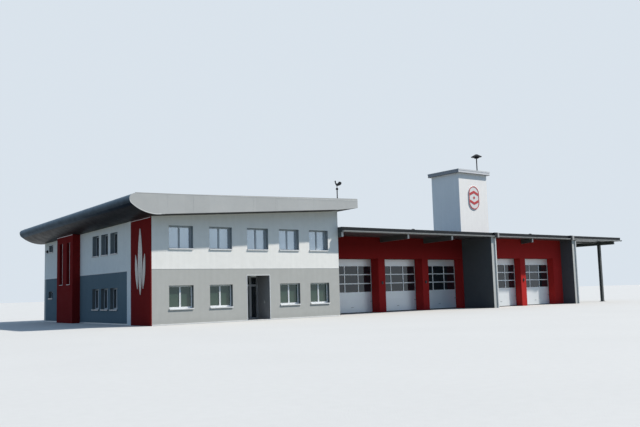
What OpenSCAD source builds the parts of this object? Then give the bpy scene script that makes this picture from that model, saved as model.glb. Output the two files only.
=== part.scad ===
// Fire station building, half-size model, in millimetres.
// Origin at ground level on the outer front left corner of the office block.
// +X runs to the right along the front, +Y into the depth, +Z up.

/* [Office block] */
// Length of the office front
office_w = 6985; // [6800:5:7600]
// Depth of the office block
office_d = 9925; // [9700:5:11000]
// Thickness of the outer walls
wall_t = 200; // [180:5:230]
// Height of the lower storey, where the two renders meet
storey_z = 1650; // [1560:5:1700]
// Thickness of the ground slabs
slab_t = 20; // [10:1:40]
// Thickness of the upper floor
upper_floor_t = 125; // [80:5:150]

/* [Windows] */
// Width of a front window
window_w = 805; // [700:5:840]
// Width of a left side window
side_window_w = 602; // [500:2:640]
// Sill height of the lower windows
lower_sill_z = 450; // [350:5:500]
// Head height of the lower windows
lower_head_z = 1157; // [1100:1:1250]
// Sill height of the upper windows
upper_sill_z = 2238; // [2150:2:2350]
// Head height of the upper windows
upper_head_z = 2944; // [2860:2:2980]
// Spacing of the front windows left of the entrance
left_pitch = 1360; // [1250:5:1400]
// Spacing of the front windows right of the entrance
right_pitch = 1232; // [1150:2:1300]
// Distance of the middle left side window from the front
side_mid_y = 3640; // [3500:5:3800]
// Spacing of the left side windows
side_pitch = 795; // [720:5:830]
// Depth of the lower window frames behind the outer face
reveal = 105; // [80:5:120]
// Depth of the upper window frames behind the outer face
upper_reveal = 135; // [80:5:150]
// Depth of a window frame
frame_d = 40; // [30:1:50]
// Width of a frame bar
frame_b = 32; // [20:1:45]
// Width of the bottom frame bar of a lower window
frame_foot = 60; // [20:1:80]
// Thickness of the glass panes
glass_t = 12; // [6:1:16]
// Overhang of a window sill
sill_out = 25; // [10:1:40]
// Thickness of a window sill
sill_t = 22; // [10:1:35]
// Distance of the small windows from the front
small_window_y = 9155; // [8900:5:9250]
// Width of a small window
small_window_w = 480; // [400:5:560]
// Height of a small window
small_window_h = 286; // [240:2:330]

/* [Entrance] */
// Centre of the entrance along the front
entrance_x = 3670; // [3600:5:3760]
// Width of the entrance recess
entrance_w = 852; // [820:2:900]
// Head height of the entrance recess
entrance_head_z = 1429; // [1380:1:1480]
// Depth of the entrance recess
recess_d = 725; // [600:5:800]
// Thickness of the recess lining
lining_t = 50; // [30:1:70]
// Depth of the entrance screen
screen_d = 40; // [34:1:60]
// Width of a post of the entrance screen
post_b = 50; // [44:1:60]
// Head height of the entrance door
door_head_z = 1100; // [1050:5:1150]
// Width of the entrance door leaf
leaf_w = 470; // [430:5:490]
// Thickness of the entrance door leaf
leaf_t = 30; // [24:1:34]
// Width of a rail of the door leaf
leaf_b = 45; // [35:1:60]
// Clearance around the door leaf
door_gap = 5; // [5:0.5:8]
// Radius of a hinge barrel
hinge_r = 10; // [8:0.5:12]

/* [Stair bay] */
// Distance of the stair bay from the front
bay_y = 5925; // [5700:5:6000]
// Length of the stair bay along the side
bay_l = 1665; // [1600:5:1750]
// Projection of the stair bay
bay_out = 272; // [200:2:320]
// Width of a stair window slot
slot_w = 330; // [260:2:360]
// Spacing of the two slots
slot_pitch = 765; // [700:5:800]
// Sill height of the slots
slot_sill_z = 1350; // [1200:5:1500]
// Head height of the slots
slot_head_z = 2850; // [2700:5:2900]

/* [Office roof] */
// Overhang of the roof past the front wall
eave_front = 500; // [300:10:700]
// Overhang of the roof past the back wall
eave_back = 325; // [200:5:500]
// Height of the soffit over the front left corner
soffit_z = 3200; // [3150:5:3300]
// Rise of the soffit for each unit of length to the right
soffit_rise = 0.0642; // [0.05:0.0002:0.07]
// Rise of the roof top for each unit of length to the right
top_rise = 0.033; // [0.025:0.0005:0.045]
// Height of the roof top over the front left corner
top_z = 3805; // [3760:5:3900]
// Fall of the roof to the back in degrees
roof_fall = 0.745; // [0:0.005:1.2]
// Overhang of the roof nose past the left wall
nose_out = 887; // [800:1:950]
// Height of the nose tip
nose_tip_z = 3625; // [3600:5:3640]
// Radius of the rounded tip of the nose
nose_tip_r = 130; // [110:5:140]
// Radius of the long curve below the nose
nose_r = 1220; // [1180:5:1400]
// Width of the metal edge of the nose
nose_edge = 115; // [90:5:200]
// Overhang of the roof past the right wall
eave_right = 535; // [400:5:700]
// Distance of the soffit kink from the right end
kink_in = 940; // [700:10:1100]
// Rise of the soffit past the kink
kink_rise = 0.1144; // [0.08:0.0004:0.14]
// Thickness of the roof deck
deck_t = 75; // [50:1:100]
// Thickness of the roof fascias
fascia_t = 30; // [20:1:50]
// Thickness of the soffit boards
soffit_t = 40; // [20:1:60]

/* [Red corner panel] */
// Length of the red panel along the side
panel_l = 1431; // [1300:1:1500]
// Length of the white strip behind the red panel
strip_l = 292; // [200:2:350]
// Thickness of the corner panels
panel_t = 30; // [15:1:45]

/* [Vehicle hall] */
// Distance that the hall roof and wing walls stand out past the office front
hall_out = 250; // [150:5:350]
// Setback of the wall with three doors
hall_a_y = 1345; // [1250:5:1500]
// Setback of the wall with two doors
hall_b_y = 388; // [300:2:480]
// Depth of the wall with three doors
reveal_a = 430; // [380:5:480]
// Depth of the wall with two doors
reveal_b = 325; // [280:5:380]
// Depth of the hall from the office front to its back face
hall_d = 6625; // [6500:5:7100]
// Distance of the first wing wall from the origin
wing_1_x = 14857; // [14820:1:14930]
// Distance of the second wing wall from the origin
wing_2_x = 20498; // [20400:1:20600]
// Thickness of the wing walls
wing_t = 306; // [280:2:340]
// Width of a vehicle door opening
bay_w = 2044; // [1960:4:2100]
// Head height of the vehicle doors
bay_head_z = 2073; // [1990:1:2180]
// Spacing of the vehicle doors
bay_pitch = 2385; // [2340:5:2400]
// Centre of the first vehicle door in the first wall
bay_a_x = 9010; // [8970:5:9050]
// Centre of the first vehicle door in the second wall
bay_b_x = 16477; // [16380:1:16580]
// Thickness of a vehicle door leaf
bay_leaf_t = 40; // [30:1:50]
// Lap of a vehicle door leaf behind its opening
bay_lap = 15; // [5:1:16]
// Sill height of the door glazing
bay_glass_z = 795; // [740:5:850]
// Head height of the door glazing
bay_glass_top_z = 1798; // [1740:2:1840]
// Width of a glazing bar in a vehicle door
bay_bar = 28; // [16:1:40]

/* [Hall roof] */
// Height of the hall roof
hall_roof_z = 3050; // [3020:5:3100]
// Thickness of the hall roof
hall_roof_t = 150; // [120:5:180]
// Overhang of the hall roof past its back wall
hall_eave = 150; // [60:5:250]
// Right end of the hall roof
carport_x = 24500; // [23500:10:25000]
// Radius of the gutter
gutter_r = 55; // [35:1:60]
// Depth of the gutter rim below the roof top
gutter_drop = 102; // [70:1:140]
// Radius of a downpipe
pipe_r = 26; // [16:1:32]
// Width of a roof beam
beam_b = 90; // [60:5:120]
// Depth of a roof beam at its free end
beam_tip_h = 165; // [100:5:200]
// Depth of a roof beam at the wall
beam_root_h = 200; // [140:5:240]
// Setback of the beam ends from the roof edge
beam_in = 55; // [40:5:300]

/* [Carport] */
// Distance of the carport beam from the roof end
carport_in = 470; // [300:5:600]
// Depth of the carport beam
carport_beam_h = 150; // [100:5:200]
// Width of the carport beam
carport_beam_b = 100; // [70:5:140]
// Side of a carport post
carport_post = 125; // [80:5:160]
// Setback of the front post
post_front_y = 552; // [450:2:700]
// Distance of the back post from the back edge
post_back_in = 900; // [700:5:1200]

/* [Hose tower] */
// Width of the tower
tower_w = 2110; // [1900:5:2300]
// Depth of the tower
tower_d = 1855; // [1700:5:2100]
// Height of the tower
tower_z = 6775; // [6300:5:7000]
// Thickness of the tower cap
cap_t = 175; // [120:5:220]
// Overhang of the tower cap
cap_out = 125; // [60:5:200]
// Thickness of the tower walls
tower_t = 150; // [120:5:180]
// Height of the siren over the cap
siren_h = 975; // [850:5:1200]
// Radius of the siren hood
siren_r = 275; // [220:5:320]
// Width of the plaque
plaque_w = 760; // [600:10:900]
// Height of the plaque
plaque_h = 1180; // [1000:10:1400]
// Height of the middle of the plaque
plaque_z = 5385; // [5000:5:5700]
// Thickness of the plaque
plaque_t = 30; // [15:1:40]

/* [Weathercock] */
// Height of the ball over the roof
vane_ball_h = 445; // [300:5:500]
// Radius of the mast
vane_mast_r = 14; // [10:1:20]
// Radius of the ball
vane_ball_r = 45; // [35:1:60]
// Height of the figure
vane_h = 190; // [150:5:240]
// Thickness of the figure
vane_t = 10; // [6:1:16]
// Running clearance of the figure on its pin
vane_gap = 0.3; // [0.3:0.1:1]

/* [Hidden] */

// How far a cutting body runs past the face it cuts
cut = 5;
$fn = 64;

white = "whitesmoke";
grey = "darkgray";
red = "firebrick";
metal = "silver";
dark = "dimgray";

// Windows: centre along the facade, sill height, width, height, frame depth, bottom bar
front_x = [
    entrance_x - 2 * left_pitch, entrance_x - left_pitch, entrance_x,
    entrance_x + right_pitch, entrance_x + 2 * right_pitch,
];
lower_h = lower_head_z - lower_sill_z;
upper_h = upper_head_z - upper_sill_z;
entrance_x0 = entrance_x - entrance_w / 2;
entrance_x1 = entrance_x + entrance_w / 2;
function lower_window(x, w) = [x, lower_sill_z, w, lower_h, reveal, frame_foot];
function upper_window(x, w) = [x, upper_sill_z, w, upper_h, upper_reveal, frame_b];
front_lower = [for (i = [0, 1, 3, 4]) lower_window(front_x[i], window_w)];
front_upper = [for (x = front_x) upper_window(x, window_w)];
back_lower = [for (x = front_x) lower_window(x, window_w)];

side_y = [for (i = [-1, 0, 1]) side_mid_y + i * side_pitch];
side_lower = [for (y = side_y) lower_window(y, side_window_w)];
side_upper = [for (y = side_y) upper_window(y, side_window_w)];
function small_window(head_z) = [
    small_window_y, head_z - small_window_h, small_window_w, small_window_h, reveal, frame_b,
];
small_windows = [small_window(lower_head_z), small_window(upper_head_z)];
bay_mid_y = bay_y + bay_l / 2;
slots = [for (s = [-1, 1]) [
    bay_mid_y + s * slot_pitch / 2, slot_sill_z, slot_w, slot_head_z - slot_sill_z, reveal, frame_b,
]];

hall_under_z = hall_roof_z - hall_roof_t;
bays_a = [for (i = [0, 1, 2]) bay_a_x + i * bay_pitch];
bays_b = [for (i = [0, 1]) bay_b_x + i * bay_pitch];
hall_right_x = wing_2_x + wing_t;
hall_a_back = hall_a_y + reveal_a;
hall_b_back = hall_b_y + reveal_b;
tower_x0 = hall_right_x - tower_w;
tower_y0 = hall_d - tower_d;
cap_z = tower_z - cap_t;

// Facade frames: x along the wall, y into it, z up
module on_front(x) translate([x, 0, 0]) children();
module on_left(y, x = 0) translate([x, y, 0]) rotate([0, 0, -90]) children();
module on_back(x) translate([x, office_d, 0]) rotate([0, 0, 180]) children();

// A box centred on x, from the wall face inwards
module mid_box(w, d, h, y = 0, z = 0) translate([-w / 2, y, z]) cube([w, d, h]);

module window_hole(win, t) mid_box(win[2], t + 2 * cut, win[3], -cut, win[1]);

// The lights of a window, side by side, or one above the other in a slot
module window_lights(win, y, d, lights, upright) {
    w = win[2] - 2 * frame_b;
    h = win[3] - frame_b - win[5];
    light_w = upright ? (w - (lights - 1) * frame_b) / lights : w;
    light_h = upright ? h : (h - (lights - 1) * frame_b) / lights;
    for (i = [0 : lights - 1])
        translate([
            -w / 2 + (upright ? i * (light_w + frame_b) : 0), y,
            win[1] + win[5] + (upright ? 0 : i * (light_h + frame_b)),
        ])
            cube([light_w, d, light_h]);
}

module window_frame(win, lights = 2, upright = true) {
    difference() {
        mid_box(win[2], frame_d, win[3], win[4], win[1]);
        window_lights(win, win[4] - cut, frame_d + 2 * cut, lights, upright);
    }
}

module window_panes(win, lights = 2, upright = true)
    window_lights(win, win[4] + (frame_d - glass_t) / 2, glass_t, lights, upright);

// The roof section in the plane of the front, x to the right and z up
roof_x1 = office_w + eave_right;
function top_at(x) = top_z + top_rise * x;
function soffit_at(x) = soffit_z + soffit_rise * x;
kink_x = roof_x1 - kink_in;
roof_end_z = soffit_at(kink_x) + kink_rise * kink_in;
// The tip of the nose is round, in short flats. Its last flat runs on down past the long curve,
// which goes from a point on it to the soffit and cuts both off.
tip_c = [nose_tip_r - nose_out, nose_tip_z];
tip_end_a = 205;
tip_points = [for (a = [105 : 12.5 : tip_end_a]) tip_c + nose_tip_r * [cos(a), sin(a)]];
tip_low = tip_c + nose_tip_r * [cos(tip_end_a), sin(tip_end_a)];
tip_down = [-sin(tip_end_a), cos(tip_end_a)];
tip_top_x = tip_c[0] + 0.3 * nose_tip_r;
curve_end = tip_low + 0.6 * nose_tip_r * tip_down;
curve_start_x = -0.045 * nose_out;
curve_start = [curve_start_x, soffit_at(curve_start_x)];
chord = curve_end - curve_start;
chord_n = [chord[1], -chord[0]] / norm(chord);
nose_c = (curve_end + curve_start) / 2 + sqrt(nose_r * nose_r - chord * chord / 4) * chord_n;
foot = tip_low + (tip_low[1] - soffit_z) / abs(tip_down[1]) * tip_down;
// How far the outline that the curve cuts runs past it
run_on = 2 * fascia_t;

module roof_section() {
    difference() {
        polygon(concat(
            [[tip_top_x, top_at(tip_top_x)]],
            tip_points,
            [
                [foot[0], soffit_at(foot[0])], [kink_x, soffit_at(kink_x)], [roof_x1, roof_end_z],
                [roof_x1, top_at(roof_x1)],
            ]
        ));
        difference() {
            translate([-2 * nose_out, soffit_z - 3 * run_on])
                square([2 * nose_out + curve_start_x + run_on, nose_tip_z - soffit_z + 3 * run_on]);
            translate(nose_c) circle(nose_r, $fn = 360);
        }
    }
}

// Lays a section in the roof's own slope, running from one depth to another
module along_roof(from, to) {
    translate([0, -eave_front, soffit_z])
        rotate([-roof_fall, 0, 0])
            translate([0, to, -soffit_z])
                rotate([90, 0, 0])
                    linear_extrude(to - from) children();
}
roof_l = eave_front + office_d + eave_back;

// All that lies over the soffit, which the walls stop under
module over_soffit() {
    along_roof(-cut, roof_l + cut) {
        roof_section();
        polygon([
            [tip_top_x, top_at(tip_top_x) - cut], [roof_x1, top_at(roof_x1) - cut],
            [roof_x1, 2 * top_z], [tip_top_x, 2 * top_z],
        ]);
    }
}

// Office block
module office_ground_floor() {
    color(grey) {
        translate([wall_t, wall_t, 0])
            cube([office_w - 2 * wall_t, office_d - 2 * wall_t, slab_t]);
        translate([entrance_x0, 0, 0]) cube([entrance_w, wall_t, slab_t]);
        translate([wall_t - bay_out, bay_y + wall_t, 0])
            cube([bay_out, bay_l - 2 * wall_t, slab_t]);
    }
}

module office_upper_floor() {
    color(grey)
        translate([wall_t, wall_t, storey_z - upper_floor_t])
            cube([office_w - 2 * wall_t, office_d - 2 * wall_t, upper_floor_t]);
}

module lower_front_wall_left() {
    color(grey) difference() {
        cube([entrance_x0, wall_t, storey_z]);
        for (win = front_lower) on_front(win[0]) window_hole(win, wall_t);
    }
}

module lower_front_wall_right() {
    color(grey) difference() {
        translate([entrance_x1, 0, 0]) cube([office_w - entrance_x1, wall_t, storey_z]);
        for (win = front_lower) on_front(win[0]) window_hole(win, wall_t);
    }
}

module entrance_lintel() {
    color(grey)
        translate([entrance_x0, 0, entrance_head_z])
            cube([entrance_w, wall_t, storey_z - entrance_head_z]);
}

upper_wall_h = top_z - storey_z;

module upper_front_wall() {
    color(white) difference() {
        translate([0, 0, storey_z]) cube([office_w, wall_t, upper_wall_h]);
        for (win = front_upper) on_front(win[0]) window_hole(win, wall_t);
        over_soffit();
    }
}

// The two stretches of the left wall, before and behind the stair bay
module left_stretches(z, h) {
    translate([0, wall_t, z]) cube([wall_t, bay_y - wall_t, h]);
    translate([0, bay_y + bay_l, z]) cube([wall_t, office_d - wall_t - bay_y - bay_l, h]);
}

module lower_left_wall() {
    color(grey) difference() {
        left_stretches(0, storey_z);
        for (win = concat(side_lower, [small_windows[0]])) on_left(win[0]) window_hole(win, wall_t);
    }
}

module upper_left_wall() {
    color(white) difference() {
        left_stretches(storey_z, upper_wall_h);
        for (win = concat(side_upper, [small_windows[1]])) on_left(win[0]) window_hole(win, wall_t);
        over_soffit();
    }
}

module stair_bay() {
    color(red) difference() {
        translate([-bay_out, bay_y, 0]) cube([bay_out + wall_t, bay_l, top_z]);
        translate([wall_t - bay_out, bay_y + wall_t, -cut])
            cube([bay_out + cut, bay_l - 2 * wall_t, top_z + 2 * cut]);
        for (win = slots) on_left(win[0], -bay_out) window_hole(win, wall_t);
        over_soffit();
    }
}

module lower_back_wall() {
    color(grey) difference() {
        translate([0, office_d - wall_t, 0]) cube([office_w, wall_t, storey_z]);
        for (win = back_lower) on_back(win[0]) window_hole(win, wall_t);
    }
}

module upper_back_wall() {
    color(white) difference() {
        translate([0, office_d - wall_t, storey_z]) cube([office_w, wall_t, upper_wall_h]);
        for (win = front_upper) on_back(win[0]) window_hole(win, wall_t);
        over_soffit();
    }
}

module right_stretch(z, h) {
    translate([office_w - wall_t, wall_t, z]) cube([wall_t, office_d - 2 * wall_t, h]);
}

module lower_right_wall() color(grey) right_stretch(0, storey_z);

module upper_right_wall() {
    color(white) difference() {
        right_stretch(storey_z, upper_wall_h);
        over_soffit();
    }
}

// Panels on the left side at the front corner
module red_corner_panel() {
    color(red) difference() {
        translate([-panel_t, 0, 0]) cube([panel_t, panel_l, top_z]);
        over_soffit();
    }
}

module white_corner_strip() {
    color(white) difference() {
        translate([-panel_t, panel_l, 0]) cube([panel_t, strip_l, top_z]);
        over_soffit();
    }
}

// A pointed leaf, upright, between two arcs
module leaf(w, h) {
    r = (w * w + h * h) / (4 * w);
    intersection() {
        translate([w / 2 - r, 0]) circle(r, $fn = 360);
        translate([r - w / 2, 0]) circle(r, $fn = 360);
        square([w, 0.94 * h], center = true);
    }
}

ornament_t = 14;
ornament_z = 1900;
main_leaf = [300, 2100];
side_leaf = [180, 1100];
side_leaf_at = [260, -300];
side_leaf_lean = 7;

module panel_ornament() {
    color(metal)
        translate([-panel_t - ornament_t, panel_l / 2, ornament_z])
            rotate([90, 0, 90])
                linear_extrude(ornament_t) {
                    leaf(main_leaf[0], main_leaf[1]);
                    for (s = [-1, 1])
                        translate([s * side_leaf_at[0], side_leaf_at[1]])
                            rotate(-s * side_leaf_lean)
                                leaf(side_leaf[0], side_leaf[1]);
                }
}

module window_frames() {
    color(white) {
        for (win = concat(front_lower, front_upper)) on_front(win[0]) window_frame(win);
        for (win = concat(side_lower, side_upper)) on_left(win[0]) window_frame(win);
        for (win = small_windows) on_left(win[0]) window_frame(win, 1);
        for (win = slots) on_left(win[0], -bay_out) window_frame(win, 2, false);
        for (win = concat(back_lower, front_upper)) on_back(win[0]) window_frame(win);
    }
}

module window_glass() {
    color("lightblue") {
        for (win = concat(front_lower, front_upper)) on_front(win[0]) window_panes(win);
        for (win = concat(side_lower, side_upper)) on_left(win[0]) window_panes(win);
        for (win = small_windows) on_left(win[0]) window_panes(win, 1);
        for (win = slots) on_left(win[0], -bay_out) window_panes(win, 2, false);
        for (win = concat(back_lower, front_upper)) on_back(win[0]) window_panes(win);
    }
}

// A sill lies in the hole before the frame and stands out past the wall
module sill(win) mid_box(win[2], win[4] + sill_out, sill_t, -sill_out, win[1]);

module window_sills() {
    color(metal) {
        for (win = concat(front_lower, front_upper)) on_front(win[0]) sill(win);
        for (win = concat(side_lower, side_upper, small_windows)) on_left(win[0]) sill(win);
        for (win = concat(back_lower, front_upper)) on_back(win[0]) sill(win);
    }
}

// Entrance
screen_end_y = recess_d + screen_d;
door_hole_w = leaf_w + 2 * door_gap;
door_x0 = entrance_x0 + post_b;
door_x1 = door_x0 + door_hole_w;
light_x0 = door_x1 + post_b;
light_x1 = entrance_x1 - post_b;

module entrance_recess() {
    color(dark) {
        for (x = [entrance_x0 - lining_t, entrance_x1])
            translate([x, wall_t, slab_t])
                cube([lining_t, screen_end_y - wall_t, entrance_head_z + lining_t - slab_t]);
        translate([entrance_x0, wall_t, entrance_head_z])
            cube([entrance_w, screen_end_y - wall_t, lining_t]);
    }
}

// Glass lights of the entrance screen: left, right, bottom, top
screen_lights = [
    [light_x0, light_x1, slab_t + post_b, door_head_z],
    [light_x0, light_x1, door_head_z + post_b, entrance_head_z - post_b],
    [door_x0, door_x1, door_head_z + post_b, entrance_head_z - post_b],
];

module entrance_screen() {
    color(metal) {
        difference() {
            translate([entrance_x0, recess_d, slab_t])
                cube([entrance_w, screen_d, entrance_head_z - slab_t]);
            translate([door_x0, recess_d - cut, slab_t - cut])
                cube([door_hole_w, screen_d + 2 * cut, door_head_z - slab_t + cut]);
            for (l = screen_lights)
                translate([l[0], recess_d - cut, l[2]])
                    cube([l[1] - l[0], screen_d + 2 * cut, l[3] - l[2]]);
        }
        for (z = hinge_z) fixed_hinge(z);
    }
}

module entrance_glass() {
    color("lightblue")
        for (l = screen_lights)
            translate([l[0], recess_d + (screen_d - glass_t) / 2, l[2]])
                cube([l[1] - l[0], glass_t, l[3] - l[2]]);
}

// Hinges: a fixed half below with the pin, the leaf's half above it
hinge_axis = [door_x0 + door_gap / 2, recess_d - hinge_r];
hinge_half = 30;
hinge_flap = 26;
hinge_play = 0.3;
pin_r = 4;
hinge_z = [slab_t + 110, (slab_t + door_head_z) / 2, door_head_z - 170];

module hinge_body(flap_side, z0, z1) {
    translate([hinge_axis[0], hinge_axis[1], z0]) cylinder(h = z1 - z0, r = hinge_r);
    translate([hinge_axis[0] + (flap_side < 0 ? -hinge_flap : 0), hinge_axis[1], z0])
        cube([hinge_flap, hinge_r, z1 - z0]);
}

module fixed_hinge(z) {
    hinge_body(-1, z, z + hinge_half);
    translate([hinge_axis[0], hinge_axis[1], z]) cylinder(h = 2 * hinge_half, r = pin_r);
}

leaf_z0 = slab_t + door_gap;
leaf_z1 = door_head_z - door_gap;
leaf_x0 = door_x0 + door_gap;

module entrance_door_leaf() {
    color(metal) {
        difference() {
            translate([leaf_x0, recess_d, leaf_z0]) cube([leaf_w, leaf_t, leaf_z1 - leaf_z0]);
            translate([leaf_x0 + leaf_b, recess_d - cut, leaf_z0 + leaf_b])
                cube([leaf_w - 2 * leaf_b, leaf_t + 2 * cut, leaf_z1 - leaf_z0 - 2 * leaf_b]);
        }
        for (z = hinge_z) difference() {
            hinge_body(1, z + hinge_half + hinge_play, z + 2 * hinge_half);
            translate([hinge_axis[0], hinge_axis[1], z])
                cylinder(h = 2 * hinge_half + cut, r = pin_r + hinge_play);
        }
        door_pull();
    }
}

pull_r = 9;
pull_out = 30;
pull_z = 380;
pull_l = 420;
pull_end = 50;

module door_pull() {
    x = leaf_x0 + leaf_w - leaf_b / 2;
    y = recess_d - pull_out;
    translate([x, y, pull_z]) cylinder(h = pull_l, r = pull_r);
    for (z = [pull_z + pull_end, pull_z + pull_l - pull_end])
        translate([x, y, z]) rotate([-90, 0, 0]) cylinder(h = pull_out, r = pull_r * 0.8);
}

module entrance_door_glass() {
    color("lightblue")
        translate([leaf_x0 + leaf_b, recess_d + (leaf_t - glass_t) / 2, leaf_z0 + leaf_b])
            cube([leaf_w - 2 * leaf_b, glass_t, leaf_z1 - leaf_z0 - 2 * leaf_b]);
}

// Office roof: a metal clad tray with a solid nose edge, closed below by the soffit boards
soffit_x0 = nose_edge - nose_out;

module office_roof() {
    color(metal) difference() {
        along_roof(0, roof_l) roof_section();
        along_roof(fascia_t, roof_l - fascia_t)
            difference() {
                translate([-fascia_t, -deck_t]) roof_section();
                translate([-2 * nose_out, 0]) square([soffit_x0 + 2 * nose_out, 2 * top_z]);
            }
    }
}

module office_soffit() {
    color(dark)
        along_roof(fascia_t, roof_l - fascia_t)
            difference() {
                roof_section();
                translate([0, soffit_t]) roof_section();
                translate([-2 * nose_out, 0]) square([soffit_x0 + 2 * nose_out, 2 * top_z]);
                translate([roof_x1 - fascia_t, 0]) square([2 * fascia_t, 2 * top_z]);
            }
}

// Weathercock on the right end of the office roof
vane_x = office_w + 230;
vane_y = 250;
vane_roof_z = top_at(vane_x) - tan(roof_fall) * (vane_y + eave_front);
vane_ball_z = vane_roof_z + vane_ball_h;
vane_pin_z = vane_ball_z + vane_ball_r + 60;
vane_pin_r = 6;
vane_sleeve_r = 12;

vane_foot = 20;
vane_flange_t = 14;
vane_sleeve_z = vane_ball_z + vane_ball_r + 10;

// The mast with its flange, the ball in short flats, the sleeve and the pin
mast_profile = concat(
    [
        [0, vane_roof_z - vane_foot], [3 * vane_mast_r, vane_roof_z - vane_foot],
        [3 * vane_mast_r, vane_roof_z + vane_flange_t], [vane_mast_r, vane_roof_z + vane_flange_t],
    ],
    [for (a = [-70 : 20 : 70]) [vane_ball_r * cos(a), vane_ball_z + vane_ball_r * sin(a)]],
    [
        [vane_sleeve_r, vane_ball_z + vane_ball_r], [vane_sleeve_r, vane_sleeve_z],
        [vane_pin_r, vane_sleeve_z], [vane_pin_r, vane_pin_z], [0, vane_pin_z],
    ]
);

module weathercock_mast() {
    color(dark) difference() {
        translate([vane_x, vane_y, 0]) rotate_extrude() polygon(mast_profile);
        along_roof(-cut, roof_l + cut) roof_section();
    }
}

// The figure as drawn, 190 high, with its foot on the pin's axis
cock_drawn_h = 190;

module cock_section() {
    scale(vane_h / cock_drawn_h) {
        translate([-70, 150]) circle(26);
        for (p = [[-58, 172], [-74, 178]]) translate(p) circle(11);
        polygon([
            [-14, 0], [-36, 16], [-64, 50], [-82, 96], [-92, 136], [-122, 140], [-94, 152],
            [-48, 150], [-40, 108], [-12, 86], [26, 92], [66, 128], [100, 160], [146, 166],
            [188, 148], [222, 122], [196, 92], [206, 78], [164, 56], [170, 44], [120, 26],
            [66, 8], [14, 0],
        ]);
    }
}

module weathercock() {
    z0 = vane_sleeve_z + vane_gap;
    color(dark) difference() {
        union() {
            translate([vane_x, vane_y, z0]) cylinder(h = vane_pin_z - z0 + 30, r = vane_sleeve_r);
            translate([vane_x, vane_y + vane_t / 2, vane_pin_z + 4])
                rotate([90, 0, 0]) linear_extrude(vane_t) cock_section();
        }
        translate([vane_x, vane_y, z0 - cut])
            cylinder(h = vane_pin_z - z0 + cut + vane_gap, r = vane_pin_r + vane_gap);
    }
}

// Vehicle hall
module hall_floor() {
    color(grey)
        linear_extrude(slab_t)
            polygon([
                [office_w, hall_a_back], [wing_1_x + wing_t, hall_a_back],
                [wing_1_x + wing_t, hall_b_back], [hall_right_x - wall_t, hall_b_back],
                [hall_right_x - wall_t, tower_y0], [tower_x0, tower_y0],
                [tower_x0, hall_d - wall_t], [office_w, hall_d - wall_t],
            ]);
}

module door_holes(centres, y, depth) {
    for (x = centres)
        translate([x - bay_w / 2, y - cut, -cut]) cube([bay_w, depth + 2 * cut, bay_head_z + cut]);
}

module hall_front_wall_a() {
    color(red) difference() {
        translate([office_w, hall_a_y, 0]) cube([wing_1_x - office_w, reveal_a, hall_under_z]);
        door_holes(bays_a, hall_a_y, reveal_a);
    }
}

module hall_front_wall_b() {
    color(red) difference() {
        translate([wing_1_x + wing_t, hall_b_y, 0])
            cube([wing_2_x - wing_1_x - wing_t, reveal_b, hall_under_z]);
        door_holes(bays_b, hall_b_y, reveal_b);
    }
}

module wing_wall_1() {
    color(grey) translate([wing_1_x, -hall_out, 0]) cube([wing_t, hall_out + hall_a_back, hall_under_z]);
}

module wing_wall_2() {
    color(grey) translate([wing_2_x, -hall_out, 0]) cube([wing_t, hall_out + hall_b_back, hall_under_z]);
}

module hall_right_wall() {
    color(grey)
        translate([hall_right_x - wall_t, hall_b_back, 0])
            cube([wall_t, tower_y0 - hall_b_back, hall_under_z]);
}

module hall_back_wall() {
    color(grey)
        translate([office_w, hall_d - wall_t, 0])
            cube([tower_x0 - office_w, wall_t, hall_under_z]);
}

// A sectional door hangs behind its opening and stands on the hall floor
bay_cols = 3;
bay_rows = 3;
bay_pane_w = (bay_w - (bay_cols + 1) * bay_bar) / bay_cols;
bay_pane_h = (bay_glass_top_z - bay_glass_z - (bay_rows - 1) * bay_bar) / bay_rows;

module bay_panes(x, y, d) {
    for (i = [0 : bay_cols - 1], j = [0 : bay_rows - 1])
        translate([
            x - bay_w / 2 + bay_bar + i * (bay_pane_w + bay_bar), y,
            bay_glass_z + j * (bay_pane_h + bay_bar),
        ])
            cube([bay_pane_w, d, bay_pane_h]);
}

// Heights of the grooves between the sections of a door
groove_d = 4;
groove_h = 6;
grooves = concat(
    [bay_glass_z / 2],
    [for (j = [0 : bay_rows]) bay_glass_z - bay_bar / 2 + j * (bay_pane_h + bay_bar)]
);

module bay_leaf(x, y) {
    x0 = x - bay_w / 2 - bay_lap;
    leaf_l = bay_w + 2 * bay_lap;
    difference() {
        translate([x0, y, slab_t]) cube([leaf_l, bay_leaf_t, bay_head_z + bay_lap - slab_t]);
        bay_panes(x, y - cut, bay_leaf_t + 2 * cut);
        for (z = grooves)
            translate([x0 - cut, y - cut, z - groove_h / 2])
                cube([leaf_l + 2 * cut, cut + groove_d, groove_h]);
    }
}

module bay_doors_a() color(metal) for (x = bays_a) bay_leaf(x, hall_a_back);

module bay_doors_b() color(metal) for (x = bays_b) bay_leaf(x, hall_b_back);

module bay_door_glass() {
    color("lightblue") {
        for (x = bays_a) bay_panes(x, hall_a_back + (bay_leaf_t - glass_t) / 2, glass_t);
        for (x = bays_b) bay_panes(x, hall_b_back + (bay_leaf_t - glass_t) / 2, glass_t);
    }
}

module hall_roof() {
    color(dark) difference() {
        translate([office_w, -hall_out, hall_under_z])
            cube([carport_x - office_w, hall_out + hall_d + hall_eave, hall_roof_t]);
        translate([tower_x0, tower_y0, hall_under_z - cut])
            cube([tower_w, tower_d + hall_eave + cut, hall_roof_t + 2 * cut]);
    }
}

// Tapered beams under the roof, from near its edge to the wall
beam_tip_y = beam_in - hall_out;
beams = [
    [office_w + beam_b / 2, hall_a_y],
    [(bays_a[0] + bays_a[1]) / 2, hall_a_y],
    [(bays_a[1] + bays_a[2]) / 2, hall_a_y],
    [(bays_b[0] + bays_b[1]) / 2, hall_b_y],
];

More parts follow.
